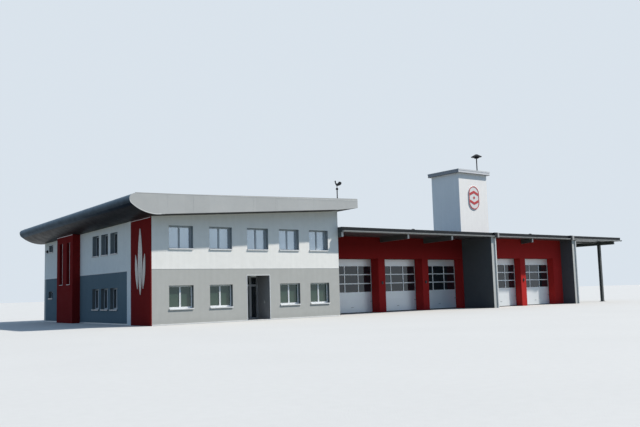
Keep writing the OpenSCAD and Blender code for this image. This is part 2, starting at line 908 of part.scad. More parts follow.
module hall_roof_beams() {
    color(dark)
        for (b = beams)
            translate([b[0] - beam_b / 2, 0, hall_under_z])
                rotate([90, 0, 90])
                    linear_extrude(beam_b)
                        polygon([
                            [beam_tip_y, 0], [beam_tip_y, -beam_tip_h],
                            [b[1], -beam_root_h], [b[1], 0],
                        ]);
}

gutter_t = 4;
gutter_z = hall_roof_z - gutter_drop;
gutter_y = -hall_out - gutter_r;
pipe_y = -hall_out - pipe_r;

module gutter_run(x0, x1) {
    translate([x0, gutter_y, gutter_z])
        rotate([90, 0, 90])
            linear_extrude(x1 - x0)
                difference() {
                    circle(gutter_r);
                    circle(gutter_r - gutter_t);
                    translate([-gutter_r - cut, 0]) square([2 * (gutter_r + cut), gutter_r + cut]);
                }
}

module gutters_and_downpipes() {
    color(metal) {
        gutter_run(office_w, wing_1_x + wing_t / 2);
        gutter_run(wing_1_x + wing_t / 2, carport_x);
        for (x = [wing_1_x, wing_2_x])
            translate([x + 0.7 * wing_t, pipe_y, 0])
                cylinder(h = gutter_z - gutter_r + 2, r = pipe_r);
    }
}

// Carport: one beam in depth on two posts
carport_beam_x = carport_x - carport_in;
carport_beam_z = hall_under_z - carport_beam_h;

module carport_frame() {
    color(dark) {
        translate([carport_beam_x - carport_beam_b / 2, beam_tip_y, carport_beam_z])
            cube([carport_beam_b, hall_d + hall_eave - beam_in - beam_tip_y, carport_beam_h]);
        for (y = [post_front_y, hall_d + hall_eave - post_back_in])
            translate([carport_beam_x - carport_post / 2, y, 0])
                cube([carport_post, carport_post, carport_beam_z]);
    }
}

// Hose tower
module tower_front_wall() {
    color(white) translate([tower_x0, tower_y0, 0]) cube([tower_w, tower_t, cap_z]);
}

module tower_back_wall() {
    color(white) translate([tower_x0, hall_d - tower_t, 0]) cube([tower_w, tower_t, cap_z]);
}

module tower_side_walls() {
    color(white)
        for (x = [tower_x0, hall_right_x - tower_t])
            translate([x, tower_y0 + tower_t, 0]) cube([tower_t, tower_d - 2 * tower_t, cap_z]);
}

module tower_cap() {
    color(white)
        translate([tower_x0 - cap_out, tower_y0 - cap_out, cap_z])
            cube([tower_w + 2 * cap_out, tower_d + 2 * cap_out, cap_t]);
}

module tower_plaque() {
    color(red)
        translate([tower_x0 + tower_w / 2, tower_y0, plaque_z])
            rotate([90, 0, 0])
                linear_extrude(plaque_t) {
                    square([plaque_w, plaque_h - plaque_w], center = true);
                    for (s = [-1, 1])
                        translate([0, s * (plaque_h - plaque_w) / 2]) circle(plaque_w / 2);
                }
}

siren_x = hall_right_x - 310;
siren_y = tower_y0 + 315;

module siren() {
    color(dark)
        translate([siren_x, siren_y, tower_z])
            rotate_extrude()
                polygon([
                    [0, 0], [90, 0], [90, 14], [28, 14], [28, siren_h - 200],
                    [70, siren_h - 200], [siren_r, siren_h - 150], [siren_r, siren_h - 130],
                    [60, siren_h - 10], [0, siren_h],
                ]);
}

office_ground_floor();
office_upper_floor();
lower_front_wall_left();
lower_front_wall_right();
entrance_lintel();
upper_front_wall();
lower_left_wall();
upper_left_wall();
stair_bay();
lower_back_wall();
upper_back_wall();
lower_right_wall();
upper_right_wall();
red_corner_panel();
white_corner_strip();
panel_ornament();
window_frames();
window_glass();
window_sills();
entrance_recess();
entrance_screen();
entrance_glass();
entrance_door_leaf();
entrance_door_glass();
office_roof();
office_soffit();
weathercock_mast();
weathercock();
hall_floor();
hall_front_wall_a();
hall_front_wall_b();
wing_wall_1();
wing_wall_2();
hall_right_wall();
hall_back_wall();
bay_doors_a();
bay_doors_b();
bay_door_glass();
hall_roof();
hall_roof_beams();
gutters_and_downpipes();
carport_frame();
tower_front_wall();
tower_back_wall();
tower_side_walls();
tower_cap();
tower_plaque();
siren();
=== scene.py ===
"""Looks of the fire station building: camera, light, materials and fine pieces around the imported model."""

from math import cos, pi, radians, sin, tan

import bmesh
import bpy
from mathutils import Matrix, Vector
from mathutils.bvhtree import BVHTree


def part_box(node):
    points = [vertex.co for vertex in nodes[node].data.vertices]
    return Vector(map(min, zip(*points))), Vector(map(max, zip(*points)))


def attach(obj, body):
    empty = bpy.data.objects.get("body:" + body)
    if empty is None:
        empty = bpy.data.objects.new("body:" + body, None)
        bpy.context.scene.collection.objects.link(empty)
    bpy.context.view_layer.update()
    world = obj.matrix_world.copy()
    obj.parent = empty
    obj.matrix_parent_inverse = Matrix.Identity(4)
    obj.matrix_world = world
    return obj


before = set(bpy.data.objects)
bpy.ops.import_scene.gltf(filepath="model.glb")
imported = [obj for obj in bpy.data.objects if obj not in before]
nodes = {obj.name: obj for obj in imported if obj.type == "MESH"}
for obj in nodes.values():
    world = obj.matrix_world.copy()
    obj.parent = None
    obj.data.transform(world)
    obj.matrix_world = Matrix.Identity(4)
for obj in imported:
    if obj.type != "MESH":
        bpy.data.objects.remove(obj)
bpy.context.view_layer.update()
scene = bpy.context.scene

# Sizes of the building, read from its nodes, in metres
office_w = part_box("upper_front_wall")[1].x
office_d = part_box("upper_back_wall")[1].y
storey_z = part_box("upper_front_wall")[0].z
roof_lo, roof_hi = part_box("office_roof")
hall_lo, hall_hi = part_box("hall_roof")
cap_lo, cap_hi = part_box("tower_cap")
tower_lo, tower_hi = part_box("tower_front_wall")
entrance_x0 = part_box("lower_front_wall_left")[1].x
entrance_x1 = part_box("lower_front_wall_right")[0].x

# Values that several looks or pieces share
roof_fall = tan(radians(0.745))  # of the office roof, towards the back
nose_w = 0.205  # of the office roof's rounded left edge
left_depth = 0.19  # what lies left of this x belongs to the left wall
bay_frames_x = -0.095  # and what lies left of this one to the stair bay
SEAT = 0.002  # how far a fitting reaches into what carries it
SLOT_H = 1.2  # windows taller than this are the slots of the stair bay


# ---- materials
class Look:
    """Builds one procedural material on a Principled shader, in object coordinates in metres."""

    def __init__(self, name, colour, rough, metallic=0.0):
        self.material = bpy.data.materials.new(name)
        self.material.use_nodes = True
        self.tree = self.material.node_tree
        self.new, self.link = self.tree.nodes.new, self.tree.links.new
        self.shader = self.tree.nodes["Principled BSDF"]
        self.give("Metallic", metallic).give("Roughness", rough)
        self.rough = rough
        self.place = self.new("ShaderNodeTexCoord").outputs["Object"]
        base = self.new("ShaderNodeRGB")
        base.outputs[0].default_value = (*colour, 1)
        self.colour = base.outputs[0]
        self.height = None

    def give(self, socket, value):
        """Sets a value that is the same all over the surface, on the shader itself."""
        self.shader.inputs[socket].default_value = value
        return self

    def feed(self, socket, source):
        """Links a value that varies over the surface."""
        self.link(source, self.shader.inputs[socket])
        return self

    def fill(self, socket, value):
        """Links a socket or sets a number."""
        if isinstance(value, bpy.types.NodeSocket):
            self.link(value, socket)
        else:
            socket.default_value = value

    def node(self, kind, operation=None, **inputs):
        made = self.new(kind)
        if operation:
            made.operation = operation
        for key, value in inputs.items():
            self.fill(made.inputs[key.replace("_", " ")], value)
        return made

    def math(self, operation, a, b=0.0):
        made = self.node("ShaderNodeMath", operation)
        self.fill(made.inputs[0], a)
        self.fill(made.inputs[1], b)
        return made.outputs[0]

    def stretched(self, x, y, z):
        return self.node("ShaderNodeMapping", Vector=self.place, Scale=(x, y, z)).outputs[0]

    def noise(self, scale, detail=4.0, where=None):
        where = self.place if where is None else where
        return self.node("ShaderNodeTexNoise", Vector=where, Scale=scale, Detail=detail).outputs["Fac"]

    def axis(self, name):
        return self.node("ShaderNodeSeparateXYZ", Vector=self.place).outputs[name]

    def spread(self, value, low, high, from_low=0.3, from_high=0.7):
        made = self.node("ShaderNodeMapRange", Value=value, From_Min=from_low, From_Max=from_high,
                         To_Min=low, To_Max=high)
        return made.outputs[0]

    def past(self, axis, value, soft=0.002):
        """A socket that goes from 0 to 1 where an axis passes a value."""
        return self.spread(self.axis(axis), 0.0, 1.0, value - soft, value + soft)

    def before(self, axis, value, soft=0.002):
        """A socket that goes from 1 to 0 where an axis passes a value."""
        return self.spread(self.axis(axis), 1.0, 0.0, value - soft, value + soft)

    def left_wall(self):
        return self.before("X", left_depth, 0.01)

    def both(self, a, b):
        return self.math("MULTIPLY", a, b)

    def either(self, a, b):
        return self.math("MAXIMUM", a, b)

    def shade(self, factor):
        """Multiplies the colour by a factor near 1."""
        made = self.node("ShaderNodeVectorMath", "SCALE", Vector=self.colour, Scale=factor)
        self.colour = made.outputs[0]
        return self

    def patches(self, scale, amount, detail=3.0, where=None):
        return self.shade(self.spread(self.noise(scale, detail, where), 1 - amount, 1 + amount))

    def tones(self, axis, pitch, amount):
        """Gives each sheet or board along an axis a tone of its own."""
        step = self.math("FLOOR", self.math("DIVIDE", self.axis(axis), pitch))
        random = self.new("ShaderNodeTexWhiteNoise")
        random.noise_dimensions = "1D"
        self.link(step, random.inputs["W"])
        return self.shade(self.spread(random.outputs["Value"], 1 - amount, 1 + amount, 0, 1))

    def turn_to(self, colour, amount):
        """Mixes another colour in, by a socket that runs from 0 to 1."""
        made = self.new("ShaderNodeMix")
        made.data_type = "RGBA"
        self.link(amount, made.inputs[0])
        self.link(self.colour, made.inputs[6])
        made.inputs[7].default_value = (*colour, 1)
        self.colour = made.outputs[2]
        return self

    def raise_by(self, height, depth):
        lifted = self.both(height, depth)
        self.height = lifted if self.height is None else self.math("ADD", self.height, lifted)
        return self

    def grain(self, scale, depth, detail=4.0, where=None):
        return self.raise_by(self.noise(scale, detail, where), depth)

    def wear(self, scale, amount):
        rough = self.spread(self.noise(scale), self.rough - amount, self.rough + amount)
        return self.feed("Roughness", rough)

    def done(self):
        self.feed("Base Color", self.colour)
        if self.height is not None:
            bump = self.node("ShaderNodeBump", Height=self.height, Distance=1.0, Strength=1.0)
            self.feed("Normal", bump.outputs[0])
        return self.material


def render_coat(name, colour, soil=0.10, gloss=0.25, side=None, painted_roof_shade=0.0):
    """Wall render: soft tonal patches, faint runs, a fine scraped grain and, with soil, a duller foot.

    side holds an axis, a value on it and the colour of what lies past that value; the looks below use it to
    paint shade on faces that lie in shade. The darkening upwards towards the roof is painted shade too.
    """
    look = Look(name, colour, 0.9)
    shade_start_z, shade_full_z, foot_z = 1.6, 2.6, 0.22
    if side:
        axis, value, painted_shade_colour = side
        # Painted shade: faces past the value take the darker side colour
        look.turn_to(painted_shade_colour, look.past(axis, value))
    if painted_roof_shade:
        # Painted shade: the wall darkens upwards towards the roof
        look.shade(look.spread(look.axis("Z"), 1.0, 1 - painted_roof_shade, shade_start_z, shade_full_z))
    look.patches(0.7, 0.02).patches(6.0, 0.012).patches(160.0, 0.03)
    runs = look.noise(1.0, 3.0, look.stretched(9.0, 9.0, 0.5))
    look.shade(look.spread(runs, 0.975, 1.015))
    if soil:
        foot = look.spread(look.axis("Z"), 1 - soil, 1.0, 0.0, foot_z)
        look.shade(look.math("ADD", foot, look.spread(look.noise(5.0), -0.02, 0.02)))
    look.grain(420.0, 0.0011).grain(90.0, 0.0008).give("Specular IOR Level", gloss)
    return look.wear(3.0, 0.05).done()


def sheet(look, pitch=None):
    """Sheet metal: soft patches, a fine orange peel and a tone for each sheet of one pitch along x."""
    look.patches(1.1, 0.025).patches(14.0, 0.015)
    if pitch:
        look.tones("X", pitch, 0.03)
    return look.grain(700.0, 0.00006).wear(5.0, 0.06)


def coated_metal(name, colour, rough, metallic, pitch=None, gloss=0.5):
    look = Look(name, colour, rough, metallic).give("Specular IOR Level", gloss)
    return sheet(look, pitch).done()


def roof_sheet():
    """Light roof sheets. Behind the front edge the nose has painted reflections: sky blue at its top, in
    place of the sky it mirrors, and near black lower down, in place of the dark ground it mirrors.
    """
    look = Look("roof_sheet", (0.425, 0.430, 0.424), 0.42, 0.25)
    front_edge, reflection_dark_z, reflection_blue_z = 0.014, 3.54, 3.71
    nose = look.both(look.past("Y", roof_lo.y + front_edge), look.before("X", roof_lo.x + nose_w, 0.005))
    level = look.math("ADD", look.axis("Z"), look.math("MULTIPLY", look.axis("Y"), roof_fall))
    under = look.both(nose, look.spread(level, 1.0, 0.0, reflection_dark_z, reflection_blue_z))
    # Painted reflection: the nose turns sky blue, then near black lower down
    look.turn_to((0.085, 0.122, 0.165), nose).turn_to((0.004, 0.004, 0.005), under)
    look.feed("Metallic", look.spread(nose, 0.25, 1.0, 0, 1))
    # A blue specular tint, part of the painted sky reflection
    look.give("Specular Tint", (0.70, 0.80, 0.90, 1))
    return sheet(look, 0.83).grain(2.2, 0.002, 1.0).done()


def gutter_sheet():
    """Gutters of aged sheet, with lighter painted downpipes."""
    look = Look("gutter_sheet", (0.34, 0.345, 0.345), 0.45, 0.2)
    look.turn_to((0.80, 0.80, 0.79), look.before("Z", hall_lo.z - 0.0725, 0.0025))
    return sheet(look, 1.5).done()


def sill_sheet():
    """Light sills, with painted shade that makes them darker on the shaded left wall."""
    look = Look("sill_aluminium", (0.66, 0.67, 0.68), 0.36, 0.5)
    # Painted shade on the left wall's sills
    return sheet(look.turn_to((0.34, 0.36, 0.38), look.left_wall())).done()


def cap_sheet():
    """Light cap sheets of the tower, with painted shade: darker on the left face, which lies in shade, and on
    top, which would burn out in the sun.
    """
    look = Look("cap_sheet", (0.64, 0.65, 0.67), 0.42, 0.3)
    # Painted shade on the left face
    look.turn_to((0.17, 0.20, 0.235), look.before("X", cap_lo.x + 0.004))
    # Painted shade on the sunlit top
    look.turn_to((0.40, 0.41, 0.42), look.past("Z", cap_hi.z - 0.003))
    return sheet(look, 0.7).done()


def reveal_painted_shade():
    """Painted shade: a dark sheet that lines the window reveals in place of the shade that lies in them,
    darker in the grey storey.
    """
    look = Look("reveal_painted_shade", (0.10, 0.12, 0.13), 0.5, 0.1)
    look.turn_to((0.21, 0.25, 0.28), look.past("Z", storey_z, 0.02))
    look.patches(3.0, 0.03).patches(30.0, 0.02)
    return look.grain(500.0, 0.0001).wear(8.0, 0.05).done()


def glass(name, colour, mirror):
    """Insulating glass: a tinted pane that lets part of the light through and mirrors the rest."""
    look = Look(name, colour, 0.04, mirror).patches(0.9, 0.06)
    look.grain(1.3, 0.0016, 1.0).wear(2.0, 0.02)
    look.give("Transmission Weight", 0.25).give("IOR", 1.5)
    return look.give("Coat Weight", 0.6).give("Coat Roughness", 0.03)


def window_glass():
    """Upper panes have a pale sky blue colour, a painted reflection of the sky, and lower ones are darker,
    with blinds behind them; panes on the shaded left wall are darker still, a painted shade.
    """
    # Painted reflection: the pale blue colour of the upper panes
    look = glass("window_glass", (0.60, 0.69, 0.77), 0.5)
    slat_h = 0.0125
    left = look.before("X", left_depth - 0.01, 0.01)
    lower = look.either(look.before("Z", storey_z, 0.05), left)
    slats = look.math("FRACT", look.math("DIVIDE", look.axis("Z"), slat_h))
    # The lower panes turn dark green; painted shade makes those on the left wall darker still
    look.turn_to((0.058, 0.107, 0.082), lower).turn_to((0.030, 0.040, 0.052), left)
    look.shade(look.math("SUBTRACT", 1.0, look.both(lower, look.spread(slats, 0.0, 0.18))))
    return look.feed("Metallic", look.spread(lower, 0.45, 0.12, 0, 1)).done()


def door_panel():
    """Steel door sections with a fine stucco embossing."""
    section_h = 0.2583
    look = Look("door_panel", (0.79, 0.82, 0.84), 0.38, 0.25).patches(0.9, 0.02)
    return look.tones("Z", section_h, 0.015).grain(520.0, 0.0004).wear(5.0, 0.05).done()


def concrete():
    look = Look("trowelled_concrete", (0.42, 0.415, 0.40), 0.85)
    look.patches(1.6, 0.07).patches(22.0, 0.04).patches(190.0, 0.05)
    return look.grain(260.0, 0.0011).grain(26.0, 0.0009).wear(7.0, 0.06).done()


def brushed_steel():
    look = Look("brushed_steel", (0.31, 0.32, 0.325), 0.38, 0.8).patches(2.4, 0.05)
    lines = look.stretched(900.0, 900.0, 12.0)
    look.patches(1.0, 0.08, 2.0, lines)
    return look.grain(1.0, 0.00025, 2.0, lines).wear(18.0, 0.07).done()


def plastic(name, colour, rough=0.35):
    return Look(name, colour, rough).patches(8.0, 0.02).grain(600.0, 0.00008).wear(12.0, 0.05)


def window_plastic():
    """White frames, with painted shade that makes them greyer in the upper storey, under the eave's shadow,
    and on the shaded left wall, and dark ones in the stair bay.
    """
    look = plastic("window_plastic", (0.76, 0.78, 0.79))
    # Painted shade: greyer frames in the upper storey and on the left wall
    look.turn_to((0.40, 0.45, 0.49), look.either(look.past("Z", storey_z, 0.02), look.left_wall()))
    return look.turn_to((0.030, 0.026, 0.028), look.before("X", bay_frames_x, 0.005)).done()


def rubber():
    look = Look("seal_rubber", (0.016, 0.016, 0.017), 0.7).patches(40.0, 0.1)
    return look.grain(300.0, 0.0004).wear(20.0, 0.08).done()


def soffit_boards():
    """Dark coated boards with a low gloss and a joint every few boards."""
    look = Look("soffit_boards", (0.0135, 0.0125, 0.0122), 0.45).patches(0.8, 0.10)
    board_w, joint_w = 0.25, 0.004
    look.give("Specular IOR Level", 0.11).tones("Y", board_w, 0.05)
    joint = look.math("PINGPONG", look.axis("Y"), board_w / 2)
    look.shade(look.spread(joint, 0.5, 1.0, 0.0, joint_w))
    look.raise_by(look.spread(joint, 0.0, 1.0, 0.0, joint_w), 0.0015)
    return look.grain(500.0, 0.00008).wear(4.0, 0.06).done()


def enamel(name, colour):
    look = Look(name, colour, 0.22).patches(5.0, 0.02).give("Coat Weight", 0.4)
    return look.grain(380.0, 0.00008).wear(9.0, 0.04).done()


WHITE = render_coat("white_render", (0.82, 0.81, 0.785), soil=0.03)
GREY = render_coat("grey_render", (0.440, 0.442, 0.425))
# Painted shade: a darker, bluer copy of the grey render for the lower left wall, which lies in shade; the
# other lower walls use the grey render itself
GREY_PAINTED_SHADE = render_coat("grey_render_painted_shade", (0.125, 0.172, 0.200), gloss=0.15)
# Painted light and shade: the sunlit end faces are a lighter grey that partly offsets the downpipes' cast
# shadows, and the sides, in shade, are painted dark
WING_GREY = render_coat("wing_render", (0.49, 0.495, 0.485),
                        side=("Y", hall_lo.y + 0.006, (0.080, 0.088, 0.098)))
# Lit and shaded copies of one red paint: the brightest is for the hall wall whose pillars take the sun, and
# painted shade darkens the one for the deeper hall wall and, more, the one for the panels on the shaded left
# wall. Both hall walls also darken upwards towards the roof, a painted shade
RED = render_coat("red_render", (0.46, 0.027, 0.025), gloss=0.10, painted_roof_shade=0.28)
RED_PAINTED_SHADE = render_coat("red_render_painted_shade", (0.39, 0.024, 0.023), gloss=0.08, painted_roof_shade=0.55)
RED_PAINTED_DEEP_SHADE = render_coat("red_render_painted_deep_shade", (0.190, 0.013, 0.012), gloss=0.06)
DARK = render_coat("dark_render", (0.25, 0.25, 0.255))
# Painted shade: the right face, which takes the sun most squarely, is a darker white so that it doesn't burn
# out
TOWER_WHITE = render_coat("tower_render", (0.88, 0.865, 0.845), soil=0.0, gloss=0.2,
                          side=("X", tower_hi.x - 0.003, (0.74, 0.735, 0.72)))
CONCRETE = concrete()
ROOF = roof_sheet()
EDGE = coated_metal("edge_sheet", (0.065, 0.070, 0.075), 0.38, 0.3, pitch=1.5, gloss=0.3)
DARK_EDGE = coated_metal("dark_edge_sheet", (0.020, 0.023, 0.026), 0.5, 0.0, pitch=1.5, gloss=0.12)
LIGHT_EDGE = coated_metal("light_edge_sheet", (0.62, 0.63, 0.635), 0.4, 0.35)
SOFFIT = soffit_boards()
FRAME_WHITE = window_plastic()
SILL = sill_sheet()
DOOR_FRAME = coated_metal("door_profile", (0.36, 0.375, 0.39), 0.4, 0.4)
PANEL = door_panel()
GUTTER = gutter_sheet()
REVEAL_SHADE = reveal_painted_shade()
STEEL = coated_metal("dark_steel", (0.045, 0.047, 0.050), 0.42, 0.3)
BEAM = coated_metal("beam_paint", (0.090, 0.096, 0.096), 0.45, 0.2, gloss=0.3)
BLACK = coated_metal("black_sheet", (0.013, 0.015, 0.019), 0.5, 0.0, gloss=0.12)
LEAF_METAL = coated_metal("door_leaf_profile", (0.150, 0.158, 0.165), 0.4, 0.3)
CAP = cap_sheet()
ORNAMENT = brushed_steel()
PLAQUE = enamel("plaque_white", (0.74, 0.735, 0.72))
PLAQUE_RED = enamel("plaque_red", (0.50, 0.030, 0.032))
RUBBER = rubber()
LAMP = plastic("lamp_cover", (0.85, 0.85, 0.83), 0.25).done()
WINDOW_GLASS = window_glass()
BAY_GLASS = glass("bay_glass", (0.022, 0.028, 0.034), 0.1).done()

NODE_LOOKS = {
    CONCRETE: "office_ground_floor office_upper_floor hall_floor",
    GREY: "lower_front_wall_left lower_front_wall_right entrance_lintel lower_back_wall lower_right_wall "
          "hall_right_wall hall_back_wall",
    GREY_PAINTED_SHADE: "lower_left_wall",
    WING_GREY: "wing_wall_1 wing_wall_2",
    WHITE: "upper_front_wall upper_left_wall upper_back_wall upper_right_wall white_corner_strip",
    TOWER_WHITE: "tower_front_wall tower_back_wall tower_side_walls",
    RED_PAINTED_DEEP_SHADE: "stair_bay red_corner_panel",
    RED_PAINTED_SHADE: "hall_front_wall_a",
    RED: "hall_front_wall_b",
    DARK: "entrance_recess",
    DOOR_FRAME: "entrance_screen",
    LEAF_METAL: "entrance_door_leaf",
    BAY_GLASS: "entrance_glass entrance_door_glass bay_door_glass",
    ROOF: "office_roof",
    SOFFIT: "office_soffit",
    FRAME_WHITE: "window_frames",
    WINDOW_GLASS: "window_glass",
    SILL: "window_sills",
    PANEL: "bay_doors_a bay_doors_b",
    EDGE: "hall_roof",
    BEAM: "hall_roof_beams carport_frame",
    GUTTER: "gutters_and_downpipes",
    CAP: "tower_cap",
    PLAQUE: "tower_plaque",
    BLACK: "siren weathercock_mast weathercock",
    ORNAMENT: "panel_ornament",
}
for look, names in NODE_LOOKS.items():
    for name in names.split():
        nodes[name].data.materials.clear()
        nodes[name].data.materials.append(look)


# ---- mesh helpers
def add(name, data):
    added = bpy.data.objects.new(name, data)
    scene.collection.objects.link(added)
    return added


class Shape:
    """Collects the closed solids of one piece, in metres."""

    def __init__(self, turn=None):
        self.bm = bmesh.new()
        self.turn = turn or Matrix.Identity(4)

    def solid(self, rings, faces):
        corners = [self.bm.verts.new(self.turn @ Vector(p)) for ring in rings for p in ring]
        for face in faces:
            self.bm.faces.new([corners[i] for i in face])

    def loft(self, rings):
        """Joins rings of points, each to the next, into a closed solid with flat ends."""
        n, last = len(rings[0]), len(rings[0]) * (len(rings) - 1)
        faces = [tuple(range(n))[::-1], tuple(range(last, last + n))]
        for k in range(0, last, n):
            faces += [(k + i, k + (i + 1) % n, k + n + (i + 1) % n, k + n + i) for i in range(n)]
        self.solid(rings, faces)

    def tube(self, rings):
        """Joins rings of points, each to the next and the last to the first."""
        n, faces = len(rings[0]), []
        for k in range(len(rings)):
            a, b = k * n, (k + 1) % len(rings) * n
            faces += [(a + i, a + (i + 1) % n, b + (i + 1) % n, b + i) for i in range(n)]
        self.solid(rings, faces)

    def box(self, x0, x1, y0, y1, z0, z1):
        self.loft([[(x0, y0, z), (x1, y0, z), (x1, y1, z), (x0, y1, z)] for z in (z0, z1)])

    def border(self, lo, hi, out, depth, z0, z1):
        """Four boxes round an upright box, that stand out from it and reach into it."""
        self.box(lo.x - out, hi.x + out, lo.y - out, lo.y + depth, z0, z1)
        self.box(lo.x - out, hi.x + out, hi.y - depth, hi.y + out, z0, z1)
        self.box(lo.x - out, lo.x + depth, lo.y + depth, hi.y - depth, z0, z1)
        self.box(hi.x - depth, hi.x + out, lo.y + depth, hi.y - depth, z0, z1)

    def ring(self, lo, hi, out, width, y0, y1):
        """A frame of one width in a facade's plane, whose rim lies out beyond the box lo to hi."""

        def loop(inset, y):
            a, b, c, d = lo.x - out + inset, hi.x + out - inset, lo.z - out + inset, hi.z + out - inset
            return [(a, y, c), (b, y, c), (b, y, d), (a, y, d)]

        self.tube([loop(0, y0), loop(width, y0), loop(width, y1), loop(0, y1)])

    def plate(self, outline, y0, y1):
        """A flat plate in a facade's plane, from (x, z) pairs."""
        self.loft([[(x, y, z) for x, z in outline] for y in (y0, y1)])

    def bar(self, start, end, w, h, up=(0, 0, 1)):
        """A straight bar between two points, w wide and h high, centred on its line."""
        start, end, up = Vector(start), Vector(end), Vector(up)
        side = (end - start).cross(up).normalized() * w / 2
        top = side.cross(end - start).normalized() * h / 2
        around = [side + top, -side + top, -side - top, side - top]
        self.loft([[p + a for a in around] for p in (start, end)])

    def rod(self, start, end, r, n=12):
        start, end = Vector(start), Vector(end)
        turn = (end - start).to_track_quat("Z", "Y")
        angles = [2 * pi * i / n for i in range(n)]
        around = [turn @ Vector((cos(a) * r, sin(a) * r, 0)) for a in angles]
        self.loft([[p + a for a in around] for p in (start, end)])

    def lathe(self, profile, centre, n=32):
        """A closed body of revolution about a vertical axis, from (radius, height) pairs."""
        x, y, z = centre
        angles = [2 * pi * i / n for i in range(n)]
        self.loft([[(x + r * cos(a), y + r * sin(a), z + h) for a in angles] for r, h in profile])

    def ribbon(self, path, w, h, across):
        """A strip that follows a path, w wide along across and h thick below the path."""
        across = Vector(across).normalized() * w / 2
        rings = []
        for i, p in enumerate(path):
            along = path[min(i + 1, len(path) - 1)] - path[max(i - 1, 0)]
            down = along.normalized().cross(across).normalized() * h
            if down.z > 0:
                down = -down
            rings.append([p - across, p + across, p + across + down, p - across + down])
        self.loft(rings)

    def make(self, name, material, slot, bevel=0.0, smooth=False, body="building"):
        bmesh.ops.recalc_face_normals(self.bm, faces=self.bm.faces)
        mesh = bpy.data.meshes.new(name)
        self.bm.to_mesh(mesh)
        self.bm.free()
        mesh.materials.append(material)
        piece = add(name, mesh)
        if smooth:
            mesh.polygons.foreach_set("use_smooth", [True] * len(mesh.polygons))
            mesh.set_sharp_from_angle(angle=radians(40))
        if bevel:
            rounding = piece.modifiers.new("bevel", "BEVEL")
            rounding.width = bevel
            rounding.segments = 1
            rounding.limit_method = "ANGLE"
        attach(piece, body)


def block(name, material, slot, corners, bevel=0.0, body="building"):
    """A piece that is one box."""
    shape = Shape()
    shape.box(*corners)
    shape.make(name, material, slot, bevel, body=body)


TURNS = {face: Matrix.Rotation(angle, 4, "Z")
         for face, angle in (("front", 0.0), ("left", -pi / 2), ("back", pi))}


def solids(node):
    """Lowest and highest corner of each separate solid of a node."""
    bm = bmesh.new()
    bm.from_mesh(nodes[node].data)
    bmesh.ops.remove_doubles(bm, verts=bm.verts, dist=1e-5)
    seen, found = set(), []
    for first in bm.verts:
        if first in seen:
            continue
        seen.add(first)
        group, queue = [], [first]
        while queue:
            vert = queue.pop()
            group.append(vert.co.copy())
            for edge in vert.link_edges:
                other = edge.other_vert(vert)
                if other not in seen:
                    seen.add(other)
                    queue.append(other)
        found.append([Vector(end(p[i] for p in group) for i in range(3)) for end in (min, max)])
    bm.free()
    return sorted(found, key=lambda b: tuple(round(c, 4) for c in b[0]))


def feet(node):
    """Lowest and highest corner of each separate foot that a node sets on the ground."""
    found, reach = [], 0.2
    grounded = [v.co for v in nodes[node].data.vertices if v.co.z < 1e-4]
    for point in sorted(grounded, key=lambda p: (p.x, p.y)):
        for lo, hi in found:
            if lo.x - reach < point.x < hi.x + reach and lo.y - reach < point.y < hi.y + reach:
                lo.x, lo.y = min(lo.x, point.x), min(lo.y, point.y)
                hi.x, hi.y = max(hi.x, point.x), max(hi.y, point.y)
                break
        else:
            found.append((point.copy(), point.copy()))
    return found


def on_facades(node):
    """Each solid of a node with the facade it is on: x along the facade, y into the wall."""
    for lo, hi in solids(node):
        size = hi - lo
        if size.y < size.x:
            face = "front" if (lo.y + hi.y) / 2 < office_d / 2 else "back"
        else:
            face = "left"
        back_turn = TURNS[face].inverted()
        a, b = back_turn @ lo, back_turn @ hi
        yield face, Vector(map(min, a, b)), Vector(map(max, a, b))


def surface(node):
    """A function that gives where a ray meets a node."""
    tree = BVHTree.FromObject(nodes[node], bpy.context.evaluated_depsgraph_get())

    def meet(origin, direction):
        return tree.ray_cast(Vector(origin), Vector(direction))[0]

    return meet


UP, DOWN = (0, 0, 1), (0, 0, -1)
meet_roof = surface("office_roof")
meet_soffit = surface("office_soffit")


